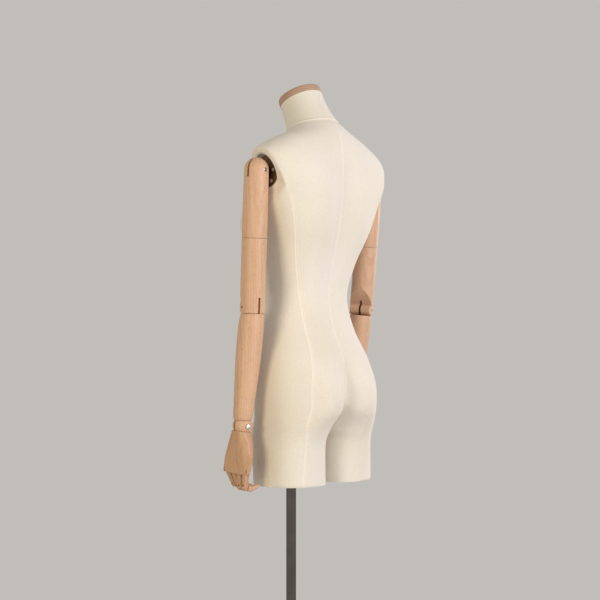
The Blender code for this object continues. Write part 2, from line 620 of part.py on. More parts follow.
def make_wrist(side, paint, wrist, arm):
    ball = [(WRIST_RADIUS * math.cos(a), WRIST_RADIUS * math.sin(a))
            for a in (math.radians(d) for d in (-48, -32, -16, 0, 16, 32))]
    top = WRIST_HALF - GAP
    profile = ball + [(WRIST_RADIUS - 0.0042, top), (WRIST_SPIGOT, top),
                      (WRIST_SPIGOT, WRIST_HALF + WRIST_SPIGOT_LENGTH)]
    made = turned(f"wrist_ball_{side}", profile, ARM_SIDES, paint["beech"], wrist)
    bore = turned(f"forearm_{side}_bore", ((WRIST_SPIGOT + RUN, -OVERCUT),
                                           (WRIST_SPIGOT + RUN, WRIST_HALF + WRIST_SPIGOT_LENGTH + 0.001)),
                  16, None, wrist)
    combine(arm, bore)
    wide = TONGUE / 2 + RUN
    reach = WRIST_RADIUS + OVERCUT
    slot = prism(f"wrist_ball_{side}_slot", ((-reach, -reach), (reach, -reach), (reach, WRIST_SLOT),
                                             (-reach, WRIST_SLOT)), -wide, wide, None, wrist)
    combine(made, slot)
    hole = rod(f"wrist_ball_{side}_hole", PIN_RADIUS + GAP, -reach, reach, None, wrist)
    combine(made, hole)
    end = WRIST_RADIUS + GAP
    rings = [[(x, y, z) for x, z, _ in circle(r, 0, 12)] for r, y in (
        (PIN_RADIUS, -WRIST_RADIUS + 0.001), (PIN_RADIUS, end), (WRIST_HEAD, end),
        (WRIST_HEAD, end + 0.0014), (WRIST_HEAD - 0.002, end + 0.0024))]
    solid(f"wrist_screw_{side}", *loft(rings), paint["steel"], wrist)


def finger_rings(sections):
    # Rounded sections down local Z: height, half width along Y, half thickness along X, X shift.
    rings = []
    for z, wide, thick, shift in sections:
        ring = []
        for k in range(8):
            a = 2 * math.pi * (k + 0.5) / 8
            c, s = math.cos(a), math.sin(a)
            ring.append((shift + thick * math.copysign(abs(c) ** 0.62, c),
                         wide * math.copysign(abs(s) ** 0.62, s), z))
        rings.append(ring)
    return rings


def make_finger(name, length, tip_length, paint, knuckle, middle, inward):
    head = FINGER_HEAD
    half = FINGER_WIDTH / 2
    end = length + 0.0060
    first = solid(f"{name}_base", *loft(finger_rings((
        (head * 0.93, half - 0.0016, head * 0.30, 0), (head * 0.70, half, head * 0.70, 0), (0, half, head, 0),
        (-length * 0.55, half - 0.0004, head - 0.0006, 0), (-length, half - 0.0008, head - 0.0008, 0),
        (-end + 0.0014, half - 0.0014, head - 0.0024, 0), (-end, half - 0.0026, head - 0.0046, 0)))),
        paint["beech"], knuckle)
    rod_hole = rod(f"{name}_base_hole", ROD_RADIUS + RUN, -0.02, 0.02, None, knuckle, 8)
    combine(first, rod_hole)
    wide = FINGER_TONGUE / 2 + RUN
    slot = prism(f"{name}_base_slot", ((-0.02, -end - 0.01), (0.02, -end - 0.01), (0.02, -length + 0.0074),
                                       (-0.02, -length + 0.0074)), -wide, wide, None, knuckle)
    combine(first, slot)
    tongue = FINGER_TONGUE / 2
    body = half - 0.0010
    bend = inward * math.tan(TIP_BEND)
    start = 0.0076
    knee = tip_length * 0.45
    far = bend * (tip_length - knee)
    sections = ((0.0060, tongue, 0.0020, 0), (0.0042, tongue, 0.0048, 0), (-start, tongue, 0.0052, 0),
                (-start - 0.0002, body - 0.0012, 0.0048, 0), (-start - 0.0016, body, 0.0060, 0),
                (-knee, body, 0.0060, 0), (-tip_length + 0.006, body - 0.0006, 0.0052, far * 0.72),
                (-tip_length + 0.0015, body - 0.0020, 0.0038, far * 0.95),
                (-tip_length, body - 0.0042, 0.0018, far))
    solid(f"{name}_tip", *loft(finger_rings(sections)), paint["beech"], middle)


def make_hand(side, sign, paint, bend, hand):
    rings = []
    for depth, wide, thick, shift in PALM:
        ring = []
        for k in range(16):
            a = 2 * math.pi * (k + 0.5) / 16
            c, s = math.cos(a), math.sin(a)
            ring.append((thick * math.copysign(abs(c) ** PALM_SQUARE, c),
                         shift + wide * math.copysign(abs(s) ** PALM_SQUARE, s), -depth))
        rings.append(ring)
    palm = solid(f"hand_{side}", *loft(rings), paint["beech"], hand)
    cup_r = WRIST_RADIUS + RUN + GAP
    cup = arc(cup_r, math.radians(-85), math.radians(85), 10)
    combine(palm, turned(f"hand_{side}_cup", cup, ARM_SIDES, None, hand))
    tongue_round, tongue_half, tongue_depth = HAND_TONGUE
    outline = [(tongue_half, -tongue_depth)] + arc(tongue_round, math.radians(-20), math.radians(200), 12)
    outline += [(-tongue_half, -tongue_depth)]
    tongue = prism(f"hand_{side}_tongue", outline, -TONGUE / 2, TONGUE / 2, None, bend)
    combine(palm, tongue, "UNION")
    combine(palm, rod(f"hand_{side}_pin_hole", PIN_RADIUS + RUN, -0.01, 0.01, None, bend))

    axis_z = -PALM_END + KNUCKLE_INSET
    inward = -sign
    room = FINGER_HEAD + RUN
    for k in range(4):
        y = (k - 1.5) * FINGER_PITCH
        knuckle = empty(f"knuckle_{side}_{k + 1}", hand, (0, y, axis_z),
                        (0, sign * math.radians(KNUCKLE_CURL[k]), 0))
        middle = empty(f"middle_{side}_{k + 1}", knuckle, (0, 0, -FINGER_LENGTHS[k]),
                       (0, sign * math.radians(TIP_CURL[k]), 0))
        outline = [(-room, -0.03)] + arc(room, math.pi, CURL_MOST, 8)
        outline += [(0.03, room * math.sin(CURL_MOST)), (0.03, -0.03)]
        wide = FINGER_WIDTH / 2 + RUN
        slot = prism(f"hand_{side}_slot_{k + 1}", [(inward * x, z + axis_z) for x, z in outline],
                     y - wide, y + wide, None, hand)
        combine(palm, slot)
        make_finger(f"finger_{side}_{k + 1}", FINGER_LENGTHS[k], TIP_LENGTHS[k], paint, knuckle, middle,
                    inward)
    half = 1.5 * FINGER_PITCH + FINGER_WIDTH / 2 + 0.0018
    combine(palm, rod(f"hand_{side}_rod_hole", ROD_RADIUS + GAP, -half - GAP, half + GAP, None, hand, 8,
                      place=(0, 0, axis_z)))
    rod(f"knuckle_rod_{side}", ROD_RADIUS, -half, half, paint["steel"], hand, 8, place=(0, 0, axis_z))

    to_palm, seat_y, seat_z = THUMB_SEAT
    seat = empty(f"thumb_{side}", hand, (inward * to_palm, seat_y, seat_z),
                 (0, sign * math.radians(THUMB_CURL), 0))
    head = FINGER_HEAD - 0.0004
    half = FINGER_WIDTH / 2
    thumb = solid(f"thumb_{side}_piece", *loft(finger_rings((
        (head * 0.93, half - 0.0016, head * 0.30, 0), (head * 0.70, half, head * 0.70, 0), (0, half, head, 0),
        (-THUMB_LENGTH * 0.6, half - 0.0002, head - 0.0004, 0),
        (-THUMB_LENGTH * 0.85, half - 0.0012, head - 0.0016, 0),
        (-THUMB_LENGTH, half - 0.0040, head - 0.0046, 0)))), paint["beech"], seat)
    outline = [(THUMB_NOTCH * math.tan(math.radians(THUMB_CURL)) - room, -THUMB_NOTCH), (-room, 0)]
    outline += arc(room, math.pi, 0, 8)[1:-1]
    outline += [(room, 0), (0.04, 0.002), (0.04, -THUMB_NOTCH)]
    wide = half + RUN
    notch = prism(f"hand_{side}_thumb_notch", [(inward * (x + to_palm), z + seat_z) for x, z in outline],
                  seat_y - wide, seat_y + wide, None, hand)
    combine(palm, notch)
    pin_half = half + 0.004
    pin = rod(f"hand_{side}_thumb_dowel", ROD_RADIUS, -pin_half, pin_half, None, hand, 8,
              place=(inward * to_palm, seat_y, seat_z))
    combine(palm, pin, "UNION")
    hole = rod(f"thumb_{side}_hole", ROD_RADIUS + RUN, -pin_half, pin_half, None, hand, 8, place=pin.location)
    combine(thumb, hole)


def make_arm(side, sign, paint, form):
    swing = empty(f"swing_{side}", form, (sign * ARM_X, ARM_Y, PIN_HEIGHT), (-HANG_FORWARD[side], 0, 0))
    lift = empty(f"raise_{side}", swing, (0, 0, 0), (0, sign * HANG_INWARD[side], 0))
    twist = empty(f"twist_{side}", lift, (0, 0, -TWIST_DROP), (0, 0, TWIST_REST[side]))
    elbow = empty(f"elbow_{side}", twist, (0, 0, -ELBOW_DROP))
    length = KNUCKLE + GAP + FOREARM_LENGTH
    wrist = empty(f"wrist_{side}", elbow, (0, -math.tan(CARRY) * FOREARM_LENGTH, -length - WRIST_HALF),
                  (0, 0, sign * WRIST_YAW - TWIST_REST[side]))
    make_shoulder(side, sign, paint, swing)
    make_upper_arm(side, sign, paint, lift, twist)
    arm = make_forearm(side, paint, elbow)
    make_wrist(side, paint, wrist, arm)
    bend = empty(f"bend_{side}", wrist, turn=(0, -sign * HAND_BEND, 0))
    make_hand(side, sign, paint, bend, empty(f"hand_axis_{side}", bend, turn=(0, 0, sign * PALM_TURN)))


def main():
    clear_scene()
    paint = {
        "fabric": material("cream_jersey", (0.83, 0.77, 0.66), 0.9),
        "fibre": material("fibreglass", (0.62, 0.60, 0.55), 0.6),
        "beech": material("beech", (0.72, 0.46, 0.29), 0.5),
        "walnut": material("walnut_stain", (0.07, 0.03, 0.015), 0.4),
        "ply": material("plywood", (0.62, 0.46, 0.30), 0.7),
        "steel": material("polished_steel", (0.45, 0.44, 0.43), 0.25, 1.0),
        "alloy": material("aluminium", (0.62, 0.62, 0.62), 0.45, 1.0),
        "black": material("black_steel", (0.03, 0.03, 0.03), 0.4, 1.0),
        "plastic": material("black_plastic", (0.02, 0.02, 0.02), 0.5),
    }
    make_stand(paint)
    form = empty("form", None, (-LEG_SPACING, 0, 0))
    make_torso(paint, form)
    for side, sign in SIDES.items():
        make_arm(side, sign, paint, form)


main()
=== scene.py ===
# Dress form: jersey covered torso, beech arms and steel pole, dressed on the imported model
import math

import bmesh
import bpy
import numpy as np
from mathutils import Euler, Matrix, Vector


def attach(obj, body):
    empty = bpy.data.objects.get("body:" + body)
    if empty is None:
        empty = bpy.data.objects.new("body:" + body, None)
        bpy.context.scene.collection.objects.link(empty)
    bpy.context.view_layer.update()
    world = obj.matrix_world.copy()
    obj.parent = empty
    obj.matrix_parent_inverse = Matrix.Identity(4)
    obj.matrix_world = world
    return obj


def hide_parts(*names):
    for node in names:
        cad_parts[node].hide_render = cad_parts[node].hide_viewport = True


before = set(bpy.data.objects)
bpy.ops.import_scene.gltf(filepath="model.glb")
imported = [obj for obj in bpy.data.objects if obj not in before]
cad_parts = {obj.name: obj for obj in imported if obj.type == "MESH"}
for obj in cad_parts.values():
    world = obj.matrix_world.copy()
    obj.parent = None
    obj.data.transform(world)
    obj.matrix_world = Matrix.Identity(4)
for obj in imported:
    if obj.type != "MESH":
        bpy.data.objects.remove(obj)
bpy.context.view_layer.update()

seatGap = 0.0003    # between pieces that touch
runGap = 0.0004     # around turning and sliding pieces
overCut = 0.02      # how far a cutter passes the face it opens
hair = 1e-9         # against rounding


def placed(name, data):
    made = bpy.data.objects.new(name, data)
    bpy.context.scene.collection.objects.link(made)
    return made


def tone(red, green, blue):
    # Screen values from 0 to 255 as scene-linear colour
    values = np.array([red, green, blue]) / 255
    return (*np.where(values > 0.04045, ((values + 0.055) / 1.055) ** 2.4, values / 12.92).tolist(), 1.0)


def node(tree, kind, links=(), **values):
    # A node with its settings, its input values and its incoming links
    made = tree.nodes.new("ShaderNode" + kind)
    for key, value in values.items():
        if key in made.inputs.keys():
            made.inputs[key].default_value = value
        else:
            setattr(made, key, value)
    for source, target in links:
        tree.links.new(source, made.inputs[target])
    return made


def reckoned(tree, operation, first, second):
    # Two values, or a value and a number, put through one sum
    made = node(tree, "Math", [(first, 0)], operation=operation)
    if isinstance(second, float):
        made.inputs[1].default_value = second
    else:
        tree.links.new(second, made.inputs[1])
    return made.outputs[0]


def newFinish(name, roughness, metallic=0.0):
    made = bpy.data.materials.new(name)
    made.use_nodes = True
    tree = made.node_tree
    shader = tree.nodes["Principled BSDF"]
    shader.inputs["Roughness"].default_value = roughness
    shader.inputs["Metallic"].default_value = metallic
    return made, tree, shader


# Camera and light

viewSet = {
    "turn": math.radians(50),    # from the back towards the figure's left
    "distance": 3.18, "height": 1.02, "aside": 0.0303, "lens": 85.0, "sensor": 36.0, "shiftY": 34 / 600,
    "middle": -0.0775,           # torso mid-plane
}
towards = Vector((math.sin(viewSet["turn"]), math.cos(viewSet["turn"]), 0))
sideways = Vector((-towards.y, towards.x, 0))
lookAt = Vector((viewSet["middle"], 0, viewSet["height"]))


def aimed(direction):
    return direction.to_track_quat("-Z", "Y").to_euler()


def addCamera():
    data = bpy.data.cameras.new("photoCamera")
    data.lens = viewSet["lens"]
    data.sensor_width = viewSet["sensor"]
    data.shift_y = viewSet["shiftY"]
    camera = placed("photoCamera", data)
    camera.location = lookAt + towards * viewSet["distance"] - sideways * viewSet["aside"]
    camera.rotation_euler = aimed(-towards)
    bpy.context.scene.camera = camera


lampAim = lookAt + Vector((0, 0, 0.1))    # a little above the camera's level
lampSet = {    # name: sideways, towards the camera, height, size, watts, colour
    "keyLamp": (2.10, 1.75, 1.65, 1.6, 53, (0.98, 0.98, 1.0)),
    "rimLamp": (1.70, -1.60, 1.60, 1.0, 16, (1.0, 0.97, 0.95)),
    "fillLamp": (-1.50, 2.35, 1.25, 0.8, 26, (1.0, 0.91, 0.62)),
}


def addLamps():
    for name, (aside, near, height, size, power, colour) in lampSet.items():
        data = bpy.data.lights.new(name, "AREA")
        data.energy, data.size, data.color = power, size, colour
        lamp = placed(name, data)
        lamp.location = lookAt + sideways * aside + towards * near + Vector((0, 0, height - lookAt.z))
        lamp.rotation_euler = aimed(lampAim - lamp.location)


stageSet = {
    "backdrop": tone(193, 190, 186), "ambient": (0.395, 0.385, 0.37, 1.0), "floor": tone(205, 204, 203),
    "floorRadius": 2.6, "floorSides": 96, "floorFade": (0.6, 2.0), "floorDull": 0.95,
}


def addWorld():
    # Plain grey wherever the camera, a gloss or a glass looks, a dimmer even light everywhere else
    world = bpy.data.worlds.new("studio")
    bpy.context.scene.world = world
    world.use_nodes = True
    tree = world.node_tree
    tree.nodes.clear()
    ray = node(tree, "LightPath").outputs
    through = reckoned(tree, "MAXIMUM", ray["Is Glossy Ray"], ray["Is Transmission Ray"])
    seen = reckoned(tree, "MAXIMUM", ray["Is Camera Ray"], through)
    plain = node(tree, "Background", Color=stageSet["backdrop"])
    dim = node(tree, "Background", Color=stageSet["ambient"])
    mix = node(tree, "MixShader", [(seen, 0), (dim.outputs[0], 1), (plain.outputs[0], 2)])
    node(tree, "OutputWorld", [(mix.outputs[0], 0)])


def addFloor():
    # A disc whose pale surface fades out towards its edge
    turns = np.linspace(0, 2 * np.pi, stageSet["floorSides"], endpoint=False)
    ring = np.stack([np.cos(turns), np.sin(turns), np.zeros_like(turns)], -1) * stageSet["floorRadius"]
    mesh = bpy.data.meshes.new("floor")
    mesh.from_pydata(ring.tolist(), [], [list(range(len(turns)))])
    paint, tree, shader = newFinish("floorPaint", stageSet["floorDull"])
    shader.inputs["Base Color"].default_value = stageSet["floor"]
    far = node(tree, "VectorMath", [(node(tree, "TexCoord").outputs["Object"], 0)], operation="LENGTH")
    near, edge = stageSet["floorFade"]
    fade = node(tree, "MapRange", [(far.outputs["Value"], "Value")],
                **{"From Min": near, "From Max": edge, "To Min": 1.0, "To Max": 0.0})
    tree.links.new(fade.outputs["Result"], shader.inputs["Alpha"])
    mesh.materials.append(paint)
    placed("floor", mesh)


bpy.context.scene.view_settings.view_transform = "Standard"
addCamera()
addLamps()
addWorld()
addFloor()
print("stage set")


# Materials

def ramp(tree, source, stops):
    # Colours at places along a value
    made = node(tree, "ValToRGB", [(source, 0)])
    band = made.color_ramp
    while len(band.elements) < len(stops):
        band.elements.new(0.5)
    for element, (place, colour) in zip(band.elements, stops):
        element.position = place
        element.color = colour if len(colour) == 4 else (*colour, 1.0)
    return made.outputs["Color"]


def blendColour(tree, kind, amount, first, second):
    made = node(tree, "Mix", data_type="RGBA", blend_type=kind)
    for source, slot in ((amount, 0), (first, 6), (second, 7)):
        if isinstance(source, (float, tuple)):
            made.inputs[slot].default_value = source
        else:
            tree.links.new(source, made.inputs[slot])
    return made.outputs[2]


def shaded(tree, colour, source, stops):
    return blendColour(tree, "MULTIPLY", 1.0, colour, ramp(tree, source, stops))


def grey(value):
    return (value, value, value, 1.0)


def noise(tree, coords, scale, detail, **more):
    return node(tree, "TexNoise", [(coords, "Vector")], Scale=scale, Detail=detail, **more).outputs["Fac"]


def placedCoords(tree, shift=(0, 0, 0), scale=(1, 1, 1), turn=(0, 0, 0), attribute=None):
    if attribute:
        start = node(tree, "Attribute", attribute_name=attribute).outputs["Vector"]
    else:
        start = node(tree, "TexCoord").outputs["Object"]
    made = node(tree, "Mapping", [(start, "Vector")], Location=shift, Scale=scale, Rotation=turn)
    return made.outputs["Vector"]


def unevenGloss(tree, shader, source, low, high):
    made = node(tree, "MapRange", [(source, "Value")], **{"To Min": low, "To Max": high})
    tree.links.new(made.outputs["Result"], shader.inputs["Roughness"])


def bumped(tree, shader, height, strength, distance, under=None):
    made = node(tree, "Bump", [(height, "Height")], Strength=strength, Distance=distance)
    if under:
        tree.links.new(under, made.inputs["Normal"])
    tree.links.new(made.outputs["Normal"], shader.inputs["Normal"])
    return made.outputs["Normal"]


jerseySet = {
    # The seam colour is paler than the cloth: a painted highlight for the light caught along the raised seams
    "pale": tone(240, 231, 220), "warm": tone(233, 221, 203), "seam": tone(247, 234, 221), "seamShare": 0.75,
    "rib": 760.0,      # wales per metre of girth
    "course": 620.0,   # rows per metre of height
    "knit": {"Scale": 0.32, "Distortion": 0.6, "Detail": 1.0},
    "sheen": {"Sheen Weight": 0.18, "Sheen Roughness": 0.6, "Specular IOR Level": 0.25},
}


def jerseyFinish(name):
    # Fine knit: wales across the girth and courses up the height, over slow uneven shade
    made, tree, shader = newFinish(name, roughness=0.88)
    for socket, value in jerseySet["sheen"].items():
        shader.inputs[socket].default_value = value
    slow = noise(tree, placedCoords(tree), scale=5.0, detail=3.0)
    fine = noise(tree, placedCoords(tree), scale=260.0, detail=2.0)
    colour = ramp(tree, slow, [(0.30, jerseySet["warm"]), (0.68, jerseySet["pale"])])
    # Paler colour along the seams and the neck ridge: a painted highlight for the light the raised seams catch
    highlightMark = node(tree, "SeparateXYZ", [(placedCoords(tree, attribute="weave"), "Vector")]).outputs["Z"]
    shown = reckoned(tree, "MULTIPLY", highlightMark, jerseySet["seamShare"])
    colour = blendColour(tree, "MIX", shown, colour, jerseySet["seam"])
    colour = shaded(tree, colour, fine, [(0.25, grey(0.93)), (0.75, grey(1.0))])
    knit = placedCoords(tree, scale=(jerseySet["rib"], jerseySet["course"], 1), attribute="weave")
    wales, courses = (node(tree, "TexWave", [(knit, "Vector")], wave_type="BANDS", bands_direction=way,
                           **jerseySet["knit"]).outputs["Fac"] for way in "XY")
    loops = reckoned(tree, "MULTIPLY", wales, courses)
    colour = shaded(tree, colour, loops, [(0.0, grey(0.93)), (0.55, grey(1.0))])
    tree.links.new(colour, shader.inputs["Base Color"])
    slub = bumped(tree, shader, fine, strength=0.18, distance=0.0006)
    bumped(tree, shader, loops, strength=0.35, distance=0.0003, under=slub)
    return made


beechSet = {
    "pale": tone(219, 178, 147), "deep": tone(212, 169, 136), "fleck": tone(160, 108, 74), "fleckShare": 0.55,
    "rings": {"Scale": 58.0, "Distortion": 3.2, "Detail": 2.0, "Detail Scale": 0.6},
    "streaks": (260, 260, 9), "flecks": (900, 900, 105), "shade": (16, 16, 5),    # pattern scale on each axis
}


def beechFinish(name, heart, tint, turn=(0, 0, 0), gloss=0.46):
    # Growth rings about a heart beside the piece, long streaks, and short dark flecks along the grain
    made, tree, shader = newFinish(name, gloss)
    shader.inputs["Specular IOR Level"].default_value = 0.4
    rings = node(tree, "TexWave", [(placedCoords(tree, heart, turn=turn), "Vector")], wave_type="RINGS",
                 rings_direction="Z", **beechSet["rings"])
    streaks = noise(tree, placedCoords(tree, heart, beechSet["streaks"], turn), scale=1.0, detail=4.0,
                    Roughness=0.62)
    flecks = noise(tree, placedCoords(tree, heart, beechSet["flecks"], turn), scale=1.0, detail=2.0)
    shade = noise(tree, placedCoords(tree, heart, beechSet["shade"], turn), scale=1.0, detail=2.0)
    colour = ramp(tree, rings.outputs["Fac"],
                  [(0.0, beechSet["deep"]), (0.45, beechSet["pale"]), (1.0, beechSet["pale"])])
    colour = shaded(tree, colour, streaks, [(0.28, grey(0.95)), (0.62, grey(1.0))])
    colour = shaded(tree, colour, shade, [(0.3, (0.90, 0.87, 0.84)), (0.7, grey(1.0))])
    dash = ramp(tree, flecks, [(0.60, grey(0.0)), (0.70, grey(1.0))])
    dash = reckoned(tree, "MULTIPLY", dash, beechSet["fleckShare"])
    colour = blendColour(tree, "MIX", dash, colour, beechSet["fleck"])
    colour = blendColour(tree, "MULTIPLY", 1.0, colour, tint)
    tree.links.new(colour, shader.inputs["Base Color"])
    unevenGloss(tree, shader, streaks, gloss - 0.06, gloss + 0.10)
    pores = bumped(tree, shader, dash, strength=0.25, distance=-0.0002)
    bumped(tree, shader, streaks, strength=0.10, distance=0.0003, under=pores)
    return made


def walnutFinish(name):
    # Dark stain over straight grain, worn lighter in streaks
    made, tree, shader = newFinish(name, roughness=0.40)
    streaks = noise(tree, placedCoords(tree, scale=(420, 420, 26)), scale=1.0, detail=4.0)
    colour = ramp(tree, streaks, [(0.3, tone(80, 50, 32)), (0.75, tone(140, 94, 62))])
    tree.links.new(colour, shader.inputs["Base Color"])
    bumped(tree, shader, streaks, strength=0.12, distance=0.0003)
    return made


def steelFinish(name, colour, low, high):
    # Bare metal with fine turning marks and faint smears in its gloss
    made, tree, shader = newFinish(name, low, metallic=1.0)
    marks = noise(tree, placedCoords(tree, scale=(30, 30, 700)), scale=1.0, detail=3.0)
    smear = noise(tree, placedCoords(tree), scale=24.0, detail=3.0)
    unevenGloss(tree, shader, smear, low, high)
    dull = tuple(0.82 * value for value in colour)
    tree.links.new(ramp(tree, smear, [(0.3, dull), (0.7, colour)]), shader.inputs["Base Color"])
    bumped(tree, shader, marks, strength=0.05, distance=0.0001)
    return made


def paintFinish(name, colour, roughness, grain, depth):
    # Paint or moulding with a fine pebbled skin and slightly uneven shade
    made, tree, shader = newFinish(name, roughness)
    pebble = noise(tree, placedCoords(tree), scale=grain, detail=2.0)
    patch = noise(tree, placedCoords(tree), scale=14.0, detail=4.0)
    dull = tuple(0.72 * value for value in colour[:3])
    tree.links.new(ramp(tree, patch, [(0.3, dull), (0.7, colour)]), shader.inputs["Base Color"])
    unevenGloss(tree, shader, patch, roughness - 0.06, roughness + 0.10)
    bumped(tree, shader, pebble, strength=0.2, distance=depth)
    return made


def plyFinish(name):
    # Veneer layers seen on the edge, streaked grain on the face
    made, tree, shader = newFinish(name, roughness=0.7)
    layers = node(tree, "TexWave", [(placedCoords(tree), "Vector")], wave_type="BANDS", bands_direction="Z",
                  Scale=110.0, Distortion=0.4).outputs["Fac"]
    streaks = noise(tree, placedCoords(tree, scale=(12, 240, 40)), scale=1.0, detail=4.0)
    colour = ramp(tree, layers, [(0.35, tone(168, 126, 86)), (0.65, tone(206, 168, 124))])
    colour = shaded(tree, colour, streaks, [(0.3, grey(0.75)), (0.7, grey(1.0))])
    tree.links.new(colour, shader.inputs["Base Color"])
    bumped(tree, shader, streaks, strength=0.2, distance=0.0004)
    return made


finishes = {
    "jersey": jerseyFinish("creamJersey"),
    "walnut": walnutFinish("walnutStain"),
    "steel": steelFinish("polishedSteel", (0.70, 0.69, 0.68), 0.20, 0.30),
    "pole": steelFinish("poleSteel", (0.15, 0.140, 0.124), 0.20, 0.28),
    # Near-white paint on the shoulder screws in place of bare metal: painted light for screw heads that sit in
    # the disc's shade
    "screwPaintedLight": paintFinish("paleScrewPaintedLight", tone(240, 241, 243), 0.34, 1200.0, 0.0001),
    "pin": steelFinish("pinSteel", (0.34, 0.35, 0.36), 0.30, 0.40),
    "bronze": steelFinish("bronzedSteel", (0.10, 0.075, 0.055), 0.34, 0.48),
    # Near-white tone on the shoulder cup, far paler than the plate's grey: painted light for a cup floor that
    # lies in shade
    "alloy": paintFinish("palePlatePaintedLight", tone(238, 241, 243), 0.55, 700.0, 0.0002),
    "black": paintFinish("blackPaint", (0.030, 0.030, 0.031), 0.38, 900.0, 0.0002),
    "plastic": paintFinish("knobPlastic", (0.022, 0.022, 0.023), 0.48, 1600.0, 0.0002),
    "fibre": paintFinish("bareFibreglass", (0.55, 0.52, 0.44), 0.60, 240.0, 0.0008),
    "ply": plyFinish("plywood"),
    "neckBeech": beechFinish("neckBeech", heart=(0.1, 0.012, -1.4), tint=(0.70, 0.72, 0.78, 1),
                             turn=(0, math.pi / 2, 0), gloss=0.5),
}
print("finishes ready:", len(finishes))


# Shape helpers

def inFrame(parent, place=(0, 0, 0), turn=(0, 0, 0)):
    # A frame inside another: moved, then turned about its own axes
    return parent @ Matrix.Translation(place) @ Euler(turn).to_matrix().to_4x4()


alongY = Euler((-math.pi / 2, 0, 0)).to_matrix().to_4x4()


def sharpened(mesh, angle):
    mesh.shade_smooth()
    mesh.set_sharp_from_angle(angle=math.radians(angle))


def ringSolid(name, grid, home=None, closed=False, sharp=32):
    # Rings of points joined in order; the end rings are capped, or joined to each other when closed
    rows, count = grid.shape[:2]
    index = np.arange(rows * count).reshape(rows, count)
    low = index if closed else index[:-1]
    high = np.roll(index, -1, 0) if closed else index[1:]
    faces = np.stack([low, np.roll(low, -1, 1), np.roll(high, -1, 1), high], -1).reshape(-1, 4).tolist()
    if not closed:
        faces += [index[0].tolist(), index[-1].tolist()]
    points = grid.reshape(-1, 3)
    if home is not None:
        points = points @ np.array(home.to_3x3()).T + np.array(home.translation)
    mesh = bpy.data.meshes.new(name)
    mesh.from_pydata(points.tolist(), [], faces)
    work = bmesh.new()
    work.from_mesh(mesh)
    bmesh.ops.recalc_face_normals(work, faces=work.faces)
    work.to_mesh(mesh)
    work.free()
    sharpened(mesh, sharp)
    return placed(name, mesh)


def eased(profile, radius, steps=5):
    # Each inner corner of a profile is traded for a short curve from one side to the other
    profile = np.array(profile, float)
    out = [profile[:1]]
    for before, corner, after in zip(profile[:-2], profile[1:-1], profile[2:]):
        reach = [min(radius, 0.45 * np.linalg.norm(end - corner)) for end in (before, after)]
        first = corner + (before - corner) * reach[0] / np.linalg.norm(before - corner)
        last = corner + (after - corner) * reach[1] / np.linalg.norm(after - corner)
        t = np.linspace(0, 1, steps)[:, None]
        out.append((1 - t) ** 2 * first + 2 * t * (1 - t) * corner + t**2 * last)
    return np.concatenate(out + [profile[-1:]])


def lathe(name, profile, home=None, sides=64, closed=False):
    # Radius and height pairs carried round local Z
    profile = np.array(profile, float)
    turns = (np.arange(sides) + 0.5) * 2 * np.pi / sides
    ring = np.stack([np.cos(turns), np.sin(turns), np.zeros(sides)], -1)
    grid = profile[:, None, :1] * ring + profile[:, None, 1:] * np.array([0, 0, 1.0])
    return ringSolid(name, grid, home, closed)


def prism(name, outline, low, high, home):
    # An outline in local X and Z carried along local Y
    outline = np.array(outline, float)
    ends = [np.stack([outline[:, 0], np.full(len(outline), y), outline[:, 1]], -1) for y in (low, high)]
    return ringSolid(name, np.stack(ends), home)


def slotCutter(name, half, low, high, thick, home):
    # A block about local Z, as wide as twice half along X and as thick as twice thick along Y
    return prism(name, [(-half, low), (half, low), (half, high), (-half, high)], -thick, thick, home)


def arc(radius, start, stop, steps):
    # Points round a circle between two angles in degrees
    angles = np.linspace(math.radians(start), math.radians(stop), steps + 1)
    return np.stack([radius * np.cos(angles), radius * np.sin(angles)], -1)


def shaped(piece, *tools, sharp=32):
    # Cuts each tool out in turn, or joins on the ones that come marked UNION, and keeps the result
    for tool in tools:
        operation, tool = tool if isinstance(tool, tuple) else ("DIFFERENCE", tool)
        step = piece.modifiers.new(tool.name, "BOOLEAN")
        step.operation, step.solver, step.object = operation, "EXACT", tool
    mesh = bpy.data.meshes.new_from_object(piece.evaluated_get(bpy.context.evaluated_depsgraph_get()))
    used = [step.object for step in piece.modifiers if step.type == "BOOLEAN"]
    piece.modifiers.clear()
    piece.data = mesh
    for tool in used:
        bpy.data.objects.remove(tool, do_unlink=True)
    sharpened(mesh, sharp)
    return piece


def settled(piece, body, cadNode, finish):
    piece.data.materials.clear()
    piece.data.materials.append(finish)
    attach(piece, body)
    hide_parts(cadNode)


def smoothRows(known, values, heights):
    # Smooth slopes through known rows: each column is a chain of cubic pieces
    known = np.asarray(known, float)
    step = np.diff(known)
    below = np.clip(np.searchsorted(known, heights) - 1, 0, len(known) - 2)
    part = ((heights - known[below]) / step[below])[:, None]
    values = np.asarray(values, float)
    slope = np.diff(values, axis=0) / step[:, None]
    ease = np.zeros_like(values)
    ease[1:-1] = (slope[:-1] * step[1:, None] + slope[1:] * step[:-1, None]) / (step[:-1] + step[1:])[:, None]
    ease[-1] = slope[-1]
    wide = step[below][:, None]
    low = (2 * part**3 - 3 * part**2 + 1) * values[below] + (part**3 - 2 * part**2 + part) * wide * ease[below]
    high = (3 * part**2 - 2 * part**3) * values[below + 1] + (part**3 - part**2) * wide * ease[below + 1]
    return low + high


# Torso

